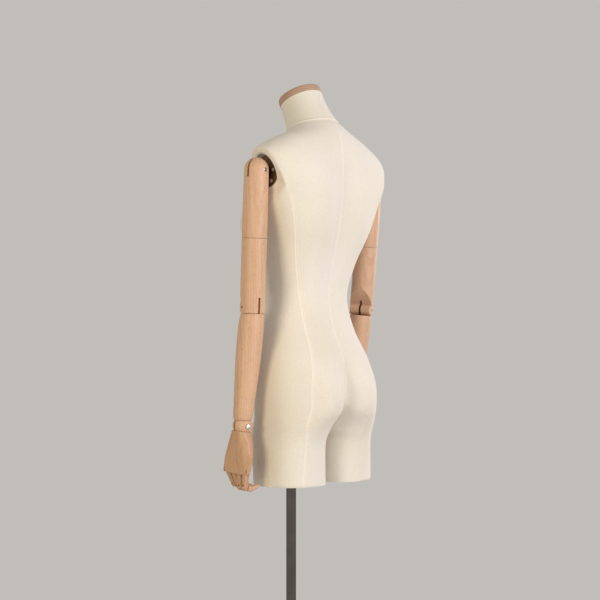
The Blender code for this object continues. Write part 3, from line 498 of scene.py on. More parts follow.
torsoSet = {
    "legEnd": 0.689, "crotch": 0.812, "legSpacing": 0.0775, "legParting": 0.011, "partingEase": 0.025,
    "parting": {"back": (0.885, 0.812, 0.5), "front": (0.848, 0.790, 1.5)},    # start, end and crossing slope
    "neckSeam": 1.492, "neckTop": 1.546, "neckTilt": math.radians(22), "neckForward": 0.039,
    "seamTilt": 0.22, "seamBack": 0.030, "seamReach": 0.050, "cover": 0.0020, "coverSpare": 0.0004,
    "shell": 0.0035, "shellInset": 0.0012,    # keeps the coarser shell below every hollow of the cover
    "armholePlane": 0.170, "armholeEase": 0.004, "armholeRadius": 0.0380, "armholeFlare": (0.75, 1.20, 0.42),
    "armholeSide": 0.14, "armY": 0.0083, "armZ": 1.370,
    # Height, half width, side y, front y, back y, front and back squareness
    "stations": np.array([
        (0.770, 0.156, 0.000, -0.092, 0.0720, 2.3, 2.5), (0.800, 0.156, 0.000, -0.093, 0.0755, 2.3, 2.5),
        (0.826, 0.157, 0.000, -0.096, 0.0815, 2.3, 2.5), (0.850, 0.158, 0.000, -0.098, 0.0880, 2.3, 2.5),
        (0.900, 0.159, 0.000, -0.099, 0.0955, 2.3, 2.4), (0.960, 0.151, -0.004, -0.100, 0.089, 2.3, 2.3),
        (1.030, 0.126, -0.014, -0.104, 0.062, 2.3, 2.3), (1.110, 0.108, -0.024, -0.106, 0.050, 2.3, 2.4),
        (1.180, 0.124, -0.018, -0.104, 0.062, 2.4, 2.7), (1.260, 0.152, -0.006, -0.098, 0.084, 2.5, 3.2),
        (1.310, 0.173, 0.004, -0.084, 0.090, 2.6, 3.1), (1.370, 0.199, 0.008, -0.062, 0.092, 2.6, 3.2),
        (1.420, 0.192, 0.008, -0.048, 0.086, 2.4, 2.6), (1.448, 0.145, 0.006, -0.046, 0.080, 2.0, 2.2),
        (1.472, 0.087, 0.002, -0.052, 0.068, 2.0, 2.0), (1.492, 0.059, -0.004, -0.060, 0.052, 2.0, 2.0),
        (1.520, 0.0478, -0.023, -0.073, 0.027, 2.0, 2.0), (1.560, 0.0453, -0.041, -0.089, 0.003, 2.0, 2.0)]),
}
tx = torsoSet
form = Matrix.Translation((-tx["legSpacing"], 0, 0))

reliefSet = {    # height, middle x and z, width, fall below and fall above
    "bust": (0.057, 0.078, 1.268, 0.058, 0.050, 0.075),
    "seat": (0.0285, 0.070, 0.872, 0.060, 0.062, 0.085),
    "cleft": (0.012, 0.0, 0.875, 0.016, 0.060, 0.080),
    "blade": (0.010, 0.075, 1.335, 0.050, 0.080, 0.060),
    "spine": (0.006, 0.0, 1.130, 0.025, 0.160, 0.200),
    "nape": (0.008, 0.0, 1.340, 0.040, 0.120, 0.080),
}
legShift = {"front": 0.009, "back": 0.002}    # how far the legs' ends stand back


def mound(x, z, hill):
    # A smooth hill with its own fall below and above its middle
    height, xMid, zMid, wide, low, high = reliefSet[hill]
    return height * np.exp(-((x - xMid) / wide) ** 2 - ((z - zMid) / np.where(z < zMid, low, high)) ** 2)


def smooth(part):
    # Rises from 0 to 1 with level ends: three squares less two cubes
    part = np.clip(part, 0, 1)
    return part * part * (3 - 2 * part)


def bodyRelief(x, z, down, front):
    # How far the surface stands out from its plain oval: bust in front, seat and shoulder blades behind
    ahead = legShift["front"] * down - mound(x, z, "bust")
    raised = mound(x, z, "seat") + mound(x, z, "blade")
    sunk = mound(x, z, "cleft") + mound(x, z, "spine") + mound(x, z, "nape")
    return np.where(front, ahead, raised - sunk + legShift["back"] * down)


def armholePlane(y, z):
    # Upright beside the arm, leaning out behind it and over its top
    toBack, toTop, slope = tx["armholeFlare"]
    return tx["armholePlane"] + slope * np.maximum(toBack * (y - tx["armY"]) + toTop * (z - tx["armZ"]), 0)


def torsoSurface(levels, across, columns=2):
    # The left half: rounded oval sections from the front centre, across -1, to the back centre, across 1,
    # and below the seat the two inner sheets, which round each leg off towards the mid-plane
    stations = tx["stations"]
    rows = smoothRows(stations[:, 0], stations[:, 1:], np.maximum(levels, stations[0, 0]))
    width, sideY, frontY, backY, frontPower, backPower = (rows[:, k:k + 1] for k in range(6))
    front = across < 0
    tall = levels[:, None]
    down = smooth((tx["crotch"] - tall) / (tx["crotch"] - tx["legEnd"]))
    middle, inner = {}, {}
    for name, (start, end, slope) in tx["parting"].items():
        middle[name] = tx["legSpacing"] * smooth((start - tall) / (start - end))
        apart = tx["legParting"] * smooth((tx["crotch"] - tall) / tx["partingEase"])
        apart = apart - slope * np.maximum(tall - tx["crotch"], 0)
        wide = np.maximum(middle[name] - apart, hair)
        power = 2 / (frontPower if name == "front" else backPower)
        first = np.arccos(np.where(apart < 0, middle[name] / wide, 1) ** (1 / power))
        angle = np.pi / 2 + (first - np.pi / 2) * np.linspace(0, 1, columns)[None, :]
        x = np.maximum(middle[name] - wide * np.cos(angle) ** power, 0)
        z = np.repeat(tall, columns, 1)
        edge = (frontY if name == "front" else backY) + bodyRelief(x, z, down, name == "front")
        y = sideY + (edge - sideY) * np.sin(angle) ** power
        inner[name] = np.stack([x, y, z], -1)[levels <= start + hair]
    power = 2 / np.where(front, frontPower, backPower)
    inset = np.where(front, middle["front"], middle["back"])
    x = inset + (width - inset) * np.abs(np.cos(across * np.pi / 2)) ** power
    z = np.repeat(tall, across.shape[1], 1)
    deep = np.where(front, frontY, backY) - sideY
    y = sideY + deep * np.abs(np.sin(across * np.pi / 2)) ** power + bodyRelief(x, z, down, front)
    plane, ease = armholePlane(y, z), tx["armholeEase"]
    past = np.clip(x - plane, -ease, ease)
    x = np.minimum(x, plane + ease) - (past + ease) ** 2 / (4 * ease)
    lift = np.clip((z - tx["neckSeam"]) / (tx["neckTop"] - tx["neckSeam"]), 0, 1)
    tilt = tx["seamTilt"] * (1 - lift) * np.exp(-((z - tx["neckSeam"]) / tx["seamReach"]) ** 2)
    z = z + lift * math.tan(tx["neckTilt"]) * (y + tx["neckForward"]) + tilt * (y - tx["seamBack"])
    return np.stack([x, y, z], -1), inner


def gridNormals(points):
    # Across the two grid directions, turned outwards from the torso's upright middle line
    along = np.gradient(points, axis=0)
    over = np.gradient(points, axis=1)
    normal = np.cross(over, along)
    normal /= np.maximum(np.linalg.norm(normal, axis=-1, keepdims=True), hair)
    centre = points.mean(1, keepdims=True)
    outward = np.sum(normal * (points - centre) * np.array([1, 1, 0]), -1).mean()
    return normal if outward > 0 else -normal


seamSet = {
    "groove": 0.00055, "grooveWide": 0.0009, "band": 0.00028, "bandWide": 0.0040, "bandEdge": 0.0016,
    "pucker": 0.00012, "puckerWide": 0.008, "puckerStep": 0.0075, "puckerDrift": (2.0, 93),
    "near": np.array([0.0008, 0.0018, 0.0032, 0.0046, 0.0072]), "nearShare": 0.45, "between": 11, "scan": 801,
    # Height and place across the half for each seam between the front and the back centre
    "lines": {
        "frontPrincess": [(0.689, -0.52), (0.800, -0.50), (0.900, -0.52), (1.000, -0.60), (1.100, -0.62),
                          (1.200, -0.56), (1.262, -0.50), (1.320, -0.42), (1.376, -0.34), (1.560, -0.34)],
        "side": [(0.689, 0.0), (1.560, 0.0)],
        "backPrincess": [(0.689, 0.725), (0.725, 0.748), (0.756, 0.765), (0.800, 0.760), (0.822, 0.695),
                         (0.844, 0.619), (0.878, 0.545), (0.943, 0.570), (0.986, 0.585), (1.040, 0.555),
                         (1.105, 0.470), (1.165, 0.430), (1.218, 0.403), (1.278, 0.393), (1.326, 0.380),
                         (1.353, 0.340), (1.378, 0.230), (1.400, 0.160), (1.560, 0.140)],
    },
    # Heights between which a seam shows, by its place in the row: the side one only over the shoulder
    "shown": {1: (0.60, 1.385), 2: (1.408, 1.492), 3: (0.60, 1.400), 4: (0.872, 1.60)},
}
clothSet = {
    # The ridge share sets how strongly the neck ridge gets the painted seam highlight
    "ridge": 0.0018, "ridgeWide": 0.0017, "ridgeHighlight": 1.4, "fade": 0.006,
    "fold": 0.0005, "foldHeight": 0.828, "foldWide": 0.009, "foldMiddle": 0.062, "foldBehind": 0.03,
    "foldSpan": (0.030, 0.108, 0.022), "swell": 0.6, "swellUp": 0.010, "swellWide": 0.007,
    "hem": 0.0016, "hemHigh": 0.006, "slack": 0.0004,
    "slackWaves": ((38, 21), (29, -33)),    # across and up, then along and up
}


def fading(z, low, high, soft=clothSet["fade"]):
    # Rises in a straight line above low, stays at 1 and falls back before high
    return np.clip((z - low) / soft, 0, 1) * np.clip((high - z) / soft, 0, 1)


def neckRidge(z):
    # A bell curve across the neck seam
    return np.exp(-((z - tx["neckSeam"]) / clothSet["ridgeWide"]) ** 2)


def seamColumns(levels):
    # Columns crowd beside each seam: places across, distance along the girth, distance to each seam
    fineAcross = np.repeat(np.linspace(-1, 1, seamSet["scan"])[None, :], len(levels), 0)
    points = torsoSurface(levels, fineAcross)[0]
    girth = np.concatenate([np.zeros((len(levels), 1)),
                            np.cumsum(np.linalg.norm(np.diff(points, axis=1), axis=-1), 1)], 1)
    ends = [np.zeros(len(levels))]
    for line in seamSet["lines"].values():
        known = np.array(line)
        place = smoothRows(known[:, 0], known[:, 1:], levels)[:, 0]
        ends.append(np.array([np.interp(p, a, g) for p, a, g in zip(place, fineAcross, girth)]))
    ends.append(girth[:, -1])
    near = seamSet["near"]
    columns = []
    for low, high in zip(ends[:-1], ends[1:]):
        room = np.minimum(1.0, seamSet["nearShare"] * (high - low) / near[-1])
        start = low[:, None] + np.concatenate([[0], near]) * room[:, None]
        stop = high[:, None] - near[::-1] * room[:, None]
        t = np.linspace(0, 1, seamSet["between"] + 2)[None, 1:-1]
        columns += [start, start[:, -1:] + (stop[:, :1] - start[:, -1:]) * t, stop]
    columns = np.concatenate(columns + [ends[-1][:, None]], 1)
    across = np.array([np.interp(c, g, a) for c, g, a in zip(columns, girth, fineAcross)])
    return np.clip(across, -1, 1), columns, [columns - end[:, None] for end in ends]


def seamRelief(levels, distances):
    # A fine groove between two pressed-open edges, which show as a low band, and faint puckers along it; the band
    # and the neck ridge also get a paler colour, a painted highlight
    z = levels[:, None]
    relief = np.zeros_like(distances[0])
    highlightMark = np.zeros_like(distances[0])
    sway, swayRate = seamSet["puckerDrift"]
    for k, span in seamSet["shown"].items():
        away, show = distances[k], fading(z, *span)
        band = show * smooth((seamSet["bandWide"] - np.abs(away)) / seamSet["bandEdge"])
        relief -= show * seamSet["groove"] * np.exp(-(away / seamSet["grooveWide"]) ** 2)
        relief += seamSet["band"] * band
        wave = np.sin(2 * np.pi * z / seamSet["puckerStep"] + sway * np.sin(z * swayRate + k))
        relief += show * seamSet["pucker"] * wave * np.exp(-(away / seamSet["puckerWide"]) ** 2)
        highlightMark = np.maximum(highlightMark, band)
    return relief, np.maximum(highlightMark, clothSet["ridgeHighlight"] * neckRidge(z))


def clothRelief(points, levels):
    # Piped ridge at the neck seam, the fold under the seat, the hem drawn in at the leg's end, slow uneven waves
    c = clothSet
    x, y = points[..., 0], points[..., 1]
    z = levels[:, None]
    up = z - c["foldHeight"] - (x - c["foldMiddle"]) ** 2
    window = c["fold"] * fading(x, *c["foldSpan"]) * (y > c["foldBehind"])
    fold = np.exp(-(up / c["foldWide"]) ** 2) * window
    swell = c["swell"] * np.exp(-((up - c["swellUp"]) / c["swellWide"]) ** 2) * window
    hem = c["hem"] * np.clip(1 - (z - tx["legEnd"]) / c["hemHigh"], 0, 1) ** 2
    (over, rise), (deep, fall) = c["slackWaves"]
    slack = c["slack"] * np.sin(over * x + rise * z) * np.sin(deep * y + fall * z)
    return c["ridge"] * neckRidge(z) - fold + swell - hem + slack


sheetSet = {
    "hem": 0.008, "armpit": 1.315, "shoulder": 1.425, "neckLow": 1.484, "neckHigh": 1.500,
    "fineRows": (5, 30, 18, 16, 84, 66, 16, 18, 16), "coarseRows": (16, 8, 8, 70, 12), "coarseColumns": 61,
    "innerColumns": 19, "innerRun": 0.12, "weld": 0.00006, "sliver": 0.00003, "sharp": 60,
}


def torsoLevels(fine):
    # Rows of points up the torso, closer together where the shape turns fast
    s, legEnd, top = sheetSet, tx["legEnd"], tx["neckTop"]
    seat = (tx["crotch"], tx["parting"]["front"][0], tx["parting"]["back"][0])
    if fine:
        stops = (legEnd, legEnd + s["hem"], *seat, s["armpit"], s["shoulder"], s["neckLow"], s["neckHigh"], top)
    else:
        stops = (legEnd, *seat, s["neckLow"], top)
    spans = zip(stops[:-1], stops[1:], s["fineRows" if fine else "coarseRows"])
    return np.concatenate([np.linspace(a, b, count, endpoint=b == top) for a, b, count in spans])


def openArmhole(quads, points):
    # Faces inside the round opening go, and the points left on its edge move out onto the circle
    y, z = points[:, 1] - tx["armY"], points[:, 2] - tx["armZ"]
    radius = np.hypot(y, z)
    beside = (points[:, 0] > tx["armholeSide"]) & (radius < tx["armholeRadius"])
    kept = ~beside[quads].all(1)
    edge = beside & np.isin(np.arange(len(points)), quads[kept])
    scale = tx["armholeRadius"] / np.maximum(radius[edge], hair)
    points[edge, 1] = tx["armY"] + y[edge] * scale
    points[edge, 2] = tx["armZ"] + z[edge] * scale
    points[edge, 0] = armholePlane(points[edge, 1], points[edge, 2])
    return quads[kept], points


def addWeave(mesh, weave):
    # Girth and height on the cloth, and how strongly a seam's painted highlight shows there
    mesh.attributes.new("weave", "FLOAT_VECTOR", "POINT").data.foreach_set("vector", weave.ravel())


def torsoSheet(name, fine, depth=0.0):
    # Both halves and the inner thighs welded into one sheet, open at the neck, the leg ends and the armholes
    levels = torsoLevels(fine)
    if fine:
        across, girth, distances = seamColumns(levels)
    else:
        across = np.repeat(np.linspace(-1, 1, sheetSet["coarseColumns"])[None, :], len(levels), 0)
        girth = across
    points, inner = torsoSurface(levels, across, sheetSet["innerColumns"])
    seams = np.zeros(across.shape)
    if fine:
        relief, seams = seamRelief(levels, distances)
        relief = relief + clothRelief(points, levels)
        middles = [(column, tx["parting"][half][0]) for column, half in ((0, "front"), (-1, "back"))]
        for column, start in middles:
            relief[levels <= start + hair, column] = 0
        points = points + gridNormals(points) * relief[..., None]
        for column, start in middles:
            points[levels >= start - hair, column, 0] = 0
    verts, faces, weave, start = [], [], [], 0
    for sign in (1, -1):
        for grid in (points, inner["back"], inner["front"]):
            rows, count = grid.shape[:2]
            index = np.arange(rows * count).reshape(rows, count)
            low, high = index[:-1], index[1:]
            quads = np.stack([low[:, :-1], low[:, 1:], high[:, 1:], high[:, :-1]], -1).reshape(-1, 4)
            flat = grid.reshape(-1, 3).copy()
            if grid is points:
                run, highlightMark = girth, seams
                quads, flat = openArmhole(quads, flat)
            else:
                run = np.repeat(np.linspace(0, sheetSet["innerRun"], count)[None, :], rows, 0)
                highlightMark = np.zeros((rows, count))
            faces.append(quads + start)
            verts.append(flat * np.array([sign, 1, 1]) + np.array(form.translation))
            weave.append(np.stack([run, np.repeat(levels[:rows, None], count, 1), highlightMark], -1).reshape(-1, 3))
            start += rows * count
    mesh = bpy.data.meshes.new(name)
    mesh.from_pydata(np.concatenate(verts).tolist(), [], np.concatenate(faces).tolist())
    addWeave(mesh, np.concatenate(weave))
    work = bmesh.new()
    work.from_mesh(mesh)
    bmesh.ops.delete(work, geom=[point for point in work.verts if not point.link_faces], context="VERTS")
    bmesh.ops.remove_doubles(work, verts=work.verts, dist=sheetSet["weld"])
    bmesh.ops.dissolve_degenerate(work, edges=work.edges, dist=sheetSet["sliver"])
    bmesh.ops.recalc_face_normals(work, faces=work.faces)
    rearmost = max(work.faces, key=lambda face: face.calc_center_median().y)
    if rearmost.normal.y < 0:
        bmesh.ops.reverse_faces(work, faces=work.faces)
    work.to_mesh(mesh)
    work.free()
    if depth:
        place, normal = np.zeros((2, len(mesh.vertices) * 3))
        mesh.vertices.foreach_get("co", place)
        mesh.vertices.foreach_get("normal", normal)
        mesh.vertices.foreach_set("co", place - normal * depth)
    sharpened(mesh, sheetSet["sharp"])
    return placed(name, mesh)


def thickened(piece, thickness):
    step = piece.modifiers.new("thickness", "SOLIDIFY")
    step.thickness = thickness
    step.offset = -1
    step.use_quality_normals = True
    return shaped(piece, sharp=sheetSet["sharp"])


pipeSet = {"tube": 0.0030, "inset": 0.0010, "sink": 0.0012, "around": 18, "along": 160, "sharp": 80}


def armholePipe(name, sign):
    # A rolled edge of cloth that follows the opening, out over the arm's top
    turn = np.linspace(0, 2 * np.pi, pipeSet["along"], endpoint=False)[:, None]
    roll = np.linspace(0, 2 * np.pi, pipeSet["around"], endpoint=False)[None, :]
    tube = pipeSet["tube"]
    radius = tx["armholeRadius"] + tube - pipeSet["inset"] + tube * np.cos(roll)
    y, z = radius * np.cos(turn), radius * np.sin(turn)
    x = armholePlane(tx["armY"] + y, tx["armZ"] + z) - pipeSet["sink"] + tube * np.sin(roll)
    grid = np.stack([sign * x, tx["armY"] + y, tx["armZ"] + z], -1)
    pipe = ringSolid(name, grid, form, True, pipeSet["sharp"])
    run = np.repeat(turn * tx["armholeRadius"], pipeSet["around"], 1)
    over = np.repeat(roll * tube, pipeSet["along"], 0)
    addWeave(pipe.data, np.stack([run, over, np.zeros_like(run)], -1))
    pipe.data.materials.append(finishes["jersey"])
    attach(pipe, "form")
    return pipe


def makeTorso():
    cover = thickened(torsoSheet("jerseyCover", True), tx["cover"] - tx["coverSpare"])
    settled(cover, "form", "fabric_cover", finishes["jersey"])
    pipes = [armholePipe("armholePipingLeft", 1), armholePipe("armholePipingRight", -1)]
    sunk = torsoSheet("fibreglassShell", False, tx["cover"] + seatGap + tx["shellInset"])
    shell = thickened(sunk, tx["shell"] - tx["shellInset"])
    settled(shell, "form", "torso_shell", finishes["fibre"])
    print("torso:", len(cover.data.polygons), "faces on the cover")


capSet = {
    "thick": 0.0165, "overhang": 0.0004, "underside": 0.020, "topEdge": (0.006, 0.0005), "top": 0.040,
    "round": 0.0042, "roundSteps": 8, "around": 128,
}


def makeNeckCap():
    # Oval rings up a rounded edge, tilted with the neck's top
    stations, c = tx["stations"], capSet
    width, _, front, back = smoothRows(stations[:, 0], stations[:, 1:5], np.array([tx["neckTop"]]))[0]
    slant = math.cos(tx["neckTilt"])
    across = width + c["overhang"]
    along = (back - front) / 2 / slant + c["overhang"]
    shift = ((back + front) / 2 + tx["neckForward"]) / slant
    home = inFrame(form, (0, -tx["neckForward"], tx["neckTop"]), (tx["neckTilt"], 0, 0))
    thick, (rim, drop) = c["thick"], c["topEdge"]
    profile = eased([(c["underside"], seatGap), (0, seatGap), (0, thick - drop), (rim, thick), (c["top"], thick)],
                    c["round"], c["roundSteps"])
    turns = np.linspace(0, 2 * np.pi, c["around"], endpoint=False)
    inset, height = profile[:, :1], np.repeat(profile[:, 1:], c["around"], 1)
    grid = np.stack([(across - inset) * np.cos(turns), shift + (along - inset) * np.sin(turns), height], -1)
    settled(ringSolid("neckCap", grid, home), "form", "neck_cap", finishes["neckBeech"])


# Stand

boreSpare = 0.001    # a bore runs past the end of what it holds
standSet = {
    "baseRadius": 0.180, "baseEdge": 0.006, "baseCrown": 0.010, "baseFlat": 0.01, "baseMiddle": 0.004,
    "baseRound": 0.0028, "baseSides": 160,
    "hubRadius": 0.030, "hubHeight": 0.028, "hubFoot": 0.007, "hubCone": 0.006, "hubLip": 0.004,
    "hubRound": 0.003, "tubeWall": 0.0024, "tubeTop": 0.395, "tubeRound": 0.0008,
    "poleRadius": 0.011, "poleWall": 0.0015, "poleFoot": 0.170, "poleRows": 40,
    "collarRadius": 0.0235, "collarHeight": 0.036, "collarOver": 0.004, "collarDrop": 0.0005,
    "collarRound": 0.0030, "screwRadius": 0.004, "screwTip": 0.0006, "holeStart": 0.006, "holeSides": 32,
    "knobNeck": 0.008, "knobBoss": (0.009, 0.004), "knobRadius": 0.017, "knobLength": 0.022, "knobDome": 0.001,
    "knobRound": 0.0024, "knobSides": 120, "flutes": 9, "fluteDepth": 0.085, "gripFrom": 0.0125,
    "socketDepth": 0.112, "socketEnd": 0.004, "sides": 96,
}


def boreCutter(name, radius, low, high, home, sides):
    # A plain bar along local Z
    return lathe(name, [(radius, low), (radius, high)], home, sides)


def makeStand():
    # Turned pieces: radius and height pairs with eased corners; the knob's radius dips for each finger
    s, black = standSet, finishes["black"]
    sides = s["sides"]
    tubeIn = s["poleRadius"] + runGap
    tubeOut = tubeIn + s["tubeWall"]
    foot = s["baseCrown"] + seatGap
    profile = eased([(s["baseMiddle"], 0), (s["baseRadius"], 0), (s["baseRadius"], s["baseEdge"]),
                     (s["hubRadius"] + s["baseFlat"], s["baseCrown"]), (s["baseMiddle"], s["baseCrown"])],
                    s["baseRound"], steps=7)
    settled(lathe("basePlate", profile, None, s["baseSides"]), "base", "base_plate", black)

    sleeveIn = tubeOut + seatGap    # inside of the hub and of the collar
    hubTop = foot + s["hubHeight"]
    profile = eased([(sleeveIn, foot), (s["hubRadius"], foot), (s["hubRadius"], foot + s["hubFoot"]),
                     (sleeveIn + s["hubCone"], hubTop - s["hubCone"]), (sleeveIn + s["hubLip"], hubTop),
                     (sleeveIn, hubTop)], s["hubRound"], steps=7)
    settled(lathe("baseHub", profile, None, sides, True), "base", "base_hub", black)

    stem = s["collarRadius"] + s["knobNeck"]
    tubeTop = s["tubeTop"]
    collarTop = tubeTop + s["collarOver"]
    collarFoot = collarTop - s["collarHeight"]
    knob = inFrame(Matrix.Identity(4), (0, 0, collarTop - s["collarHeight"] / 2), (math.pi / 2, 0, math.pi / 2))
    hole = (s["screwRadius"] + runGap, s["holeStart"], stem, knob, s["holeSides"])
    profile = eased([(tubeIn, foot), (tubeOut, foot), (tubeOut, tubeTop), (tubeIn, tubeTop)], s["tubeRound"])
    tube = shaped(lathe("lowerTube", profile, None, sides, True), boreCutter("tubeHole", *hole))
    settled(tube, "base", "lower_tube", finishes["pole"])

    poleTop = tx["legEnd"] + s["socketDepth"] - s["socketEnd"] - seatGap
    heights = np.linspace(s["poleFoot"], poleTop, s["poleRows"])
    walls = ((s["poleRadius"], heights), (s["poleRadius"] - s["poleWall"], heights[::-1]))
    profile = np.concatenate([np.stack([np.full(len(rows), radius), rows], -1) for radius, rows in walls])
    settled(lathe("upperPole", profile, None, sides, True), "pole", "upper_pole", finishes["pole"])

    outer = eased([(sleeveIn, collarFoot), (s["collarRadius"], collarFoot),
                   (s["collarRadius"], collarTop - s["collarDrop"]), (tubeIn, collarTop)],
                  s["collarRound"], steps=7)
    inner = [(tubeIn, tubeTop + seatGap), (sleeveIn, tubeTop + seatGap)]
    collar = lathe("clampCollar", np.concatenate([outer, inner]), None, sides, True)
    shaped(collar, boreCutter("collarHole", *hole))
    settled(collar, "base", "clamp_collar", black)

    start, end = s["poleRadius"] + seatGap, stem + s["knobLength"]
    boss, bossLong = s["knobBoss"]
    profile = eased([(s["screwTip"], start), (s["screwRadius"], start), (s["screwRadius"], stem - bossLong),
                     (boss, stem - bossLong), (boss, stem), (s["knobRadius"], stem),
                     (s["knobRadius"], end - s["knobDome"]), (s["screwTip"], end)], s["knobRound"], steps=6)
    turns = np.linspace(0, 2 * np.pi, s["knobSides"], endpoint=False)
    hollow = (0.5 - 0.5 * np.cos(s["flutes"] * turns)) ** 1.5    # one dip for each finger round the grip
    flute = 1 - s["fluteDepth"] * hollow
    radius = np.where(profile[:, :1] > s["gripFrom"], profile[:, :1] * flute, profile[:, :1])
    height = np.repeat(profile[:, 1:], s["knobSides"], 1)
    grid = np.stack([radius * np.cos(turns), radius * np.sin(turns), height], -1)
    settled(ringSolid("clampKnob", grid, knob), "knob", "clamp_knob", finishes["plastic"])
    print("stand made")


# Arms

armSet = {
    "x": 0.2014, "topRadius": 0.0265, "twistRadius": 0.0272, "elbowRadius": 0.0270, "twistDrop": 0.1457,
    "elbowDrop": 0.1475, "swellAt": 0.6, "edge": 0.0005, "tip": 0.0005, "knuckle": 0.013, "spigotRadius": 0.009,
    "spigotLength": 0.030, "sleeveRim": (0.0018, 0.0004), "sleeveNeck": 0.004, "sleeveRound": 0.0035,
    "pinRadius": 0.0028, "shoulderPin": 0.0042, "pinShort": 0.0012, "tongue": 0.0046, "tongueRadius": 0.0120,
    "tongueNeck": 0.008, "tongueSeat": 0.001, "slotFloor": 0.016, "slotRise": 0.021,
    "scoopStart": 0.005, "scoopSlope": 1.654, "scoopReach": 0.034, "scoopOut": 0.050,
    "scoopMeet": (0.0044, 0.0122), "stemDepth": 0.042, "stemHalf": 0.010, "carry": math.radians(4.1),
    "forearmLength": 0.228, "forearmRows": 60, "forearmEnds": (0.0006, 0.0004), "forearmRound": (0.0016, 0.002),
    "wristRadius": 0.0212, "wristHalf": 0.0126, "wristSpigot": 0.006, "wristSpigotLength": 0.018,
    "wristSlot": 0.0095, "wristSpan": (-50, 32), "wristTaper": 0.0042, "wristEdge": 0.0006,
    "wristHead": 0.0056, "headEdge": 0.0014, "headShoulder": (0.0018, 0.0024), "headCrown": 0.0026,
    "headRound": 0.0007, "wristTip": 0.0004, "wristPinShort": 0.001, "wristDriver": (-0.0011, 0.0006, 0.5),
    "wristYaw": math.radians(-14), "handBend": math.radians(6.5), "palmTurn": math.radians(16), "sides": 80,
    # Depth below the elbow's face and radius
    "forearm": np.array([(0.0, 0.0250), (0.015, 0.0266), (0.056, 0.0277), (0.100, 0.0272), (0.142, 0.0251),
                         (0.185, 0.0228), (0.218, 0.0213), (0.228, 0.0200)]),
    "arms": {"left": (1, 3.1, 0.9, 75.0), "right": (-1, 6.0, -0.6, 20.0)},    # sign, forward, inward, twist
}
discSet = {
    "radius": 0.0355, "thick": 0.0080, "round": 0.0014,
    "cupDepth": 0.0125, "cupWall": 0.0015, "cupRound": 0.0006, "flangeRadius": 0.0108, "flangeThick": 0.0025,
    "flangeRound": 0.0008, "stud": 0.005, "plate": 0.012, "tip": 0.0004, "sides": 96,
    "screwHead": 0.0040, "screwShank": 0.0019, "screwLength": 0.0065, "screwCone": 0.0022,
    "screwRim": 0.0004, "screwDome": (0.0002, 0.0004), "screwSides": 40,
    "driver": (0.0006, 0.00045, 0.7),    # depth, half width and turn of the screwdriver slot
    "screws": {"upper": (0.0152, 0.0035), "lower": (0.0120, -0.0205)},    # behind and above the pin
}
am = armSet
pinTip = 0.0003         # pins and screws end in a flat this small
driverReach = 0.01      # half length of the tool that cuts a screwdriver slot


def roundPin(name, radius, low, high, home, sides=32):
    # A bar along local Y with slightly domed ends
    dome = 0.25 * radius
    profile = [(pinTip, low), (0.75 * radius, low + 0.25 * dome), (radius, low + dome), (radius, high - dome),
               (0.75 * radius, high - 0.25 * dome), (pinTip, high)]
    return lathe(name, profile, home @ alongY, sides)


def driverSlot(home, face, values):
    depth, half, turn = values
    turned = home @ Matrix.Rotation(turn, 4, "Z")
    return slotCutter("driverSlot", driverReach, face - depth, face + driverReach, half, turned)


def makeCup(side, sign, face):
    # A round tray in the armhole, its lip trimmed to the leaning opening
    d = discSet
    plate = inFrame(form, (sign * (am["x"] + face), tx["armY"], tx["armZ"]), (0, sign * math.pi / 2, 0))
    hole, rim = d["stud"] + runGap, tx["armholeRadius"] - seatGap
    toBack, toTop, slope = tx["armholeFlare"]
    reach = tx["armholeRadius"] + overCut
    lip = d["cupDepth"] + slope * math.hypot(toBack, toTop) * reach
    profile = eased([(hole, -d["plate"]), (rim, -d["plate"]), (rim, lip), (rim - d["cupWall"], lip),
                     (rim - d["cupWall"], 0), (hole, 0)], d["cupRound"])
    cup = lathe(f"shoulderPlate{side.title()}", profile, plate, d["sides"], True)
    outline = [(-reach, d["cupDepth"]), (0, d["cupDepth"]), (reach, lip), (reach, lip + overCut),
               (-reach, lip + overCut)]
    leaning = inFrame(plate, (0, 0, 0), (0, 0, math.atan2(toBack, -sign * toTop)))
    shaped(cup, prism("cupTrim", outline, -reach, reach, leaning))
    settled(cup, "form", f"shoulder_plate_{side}", finishes["alloy"])


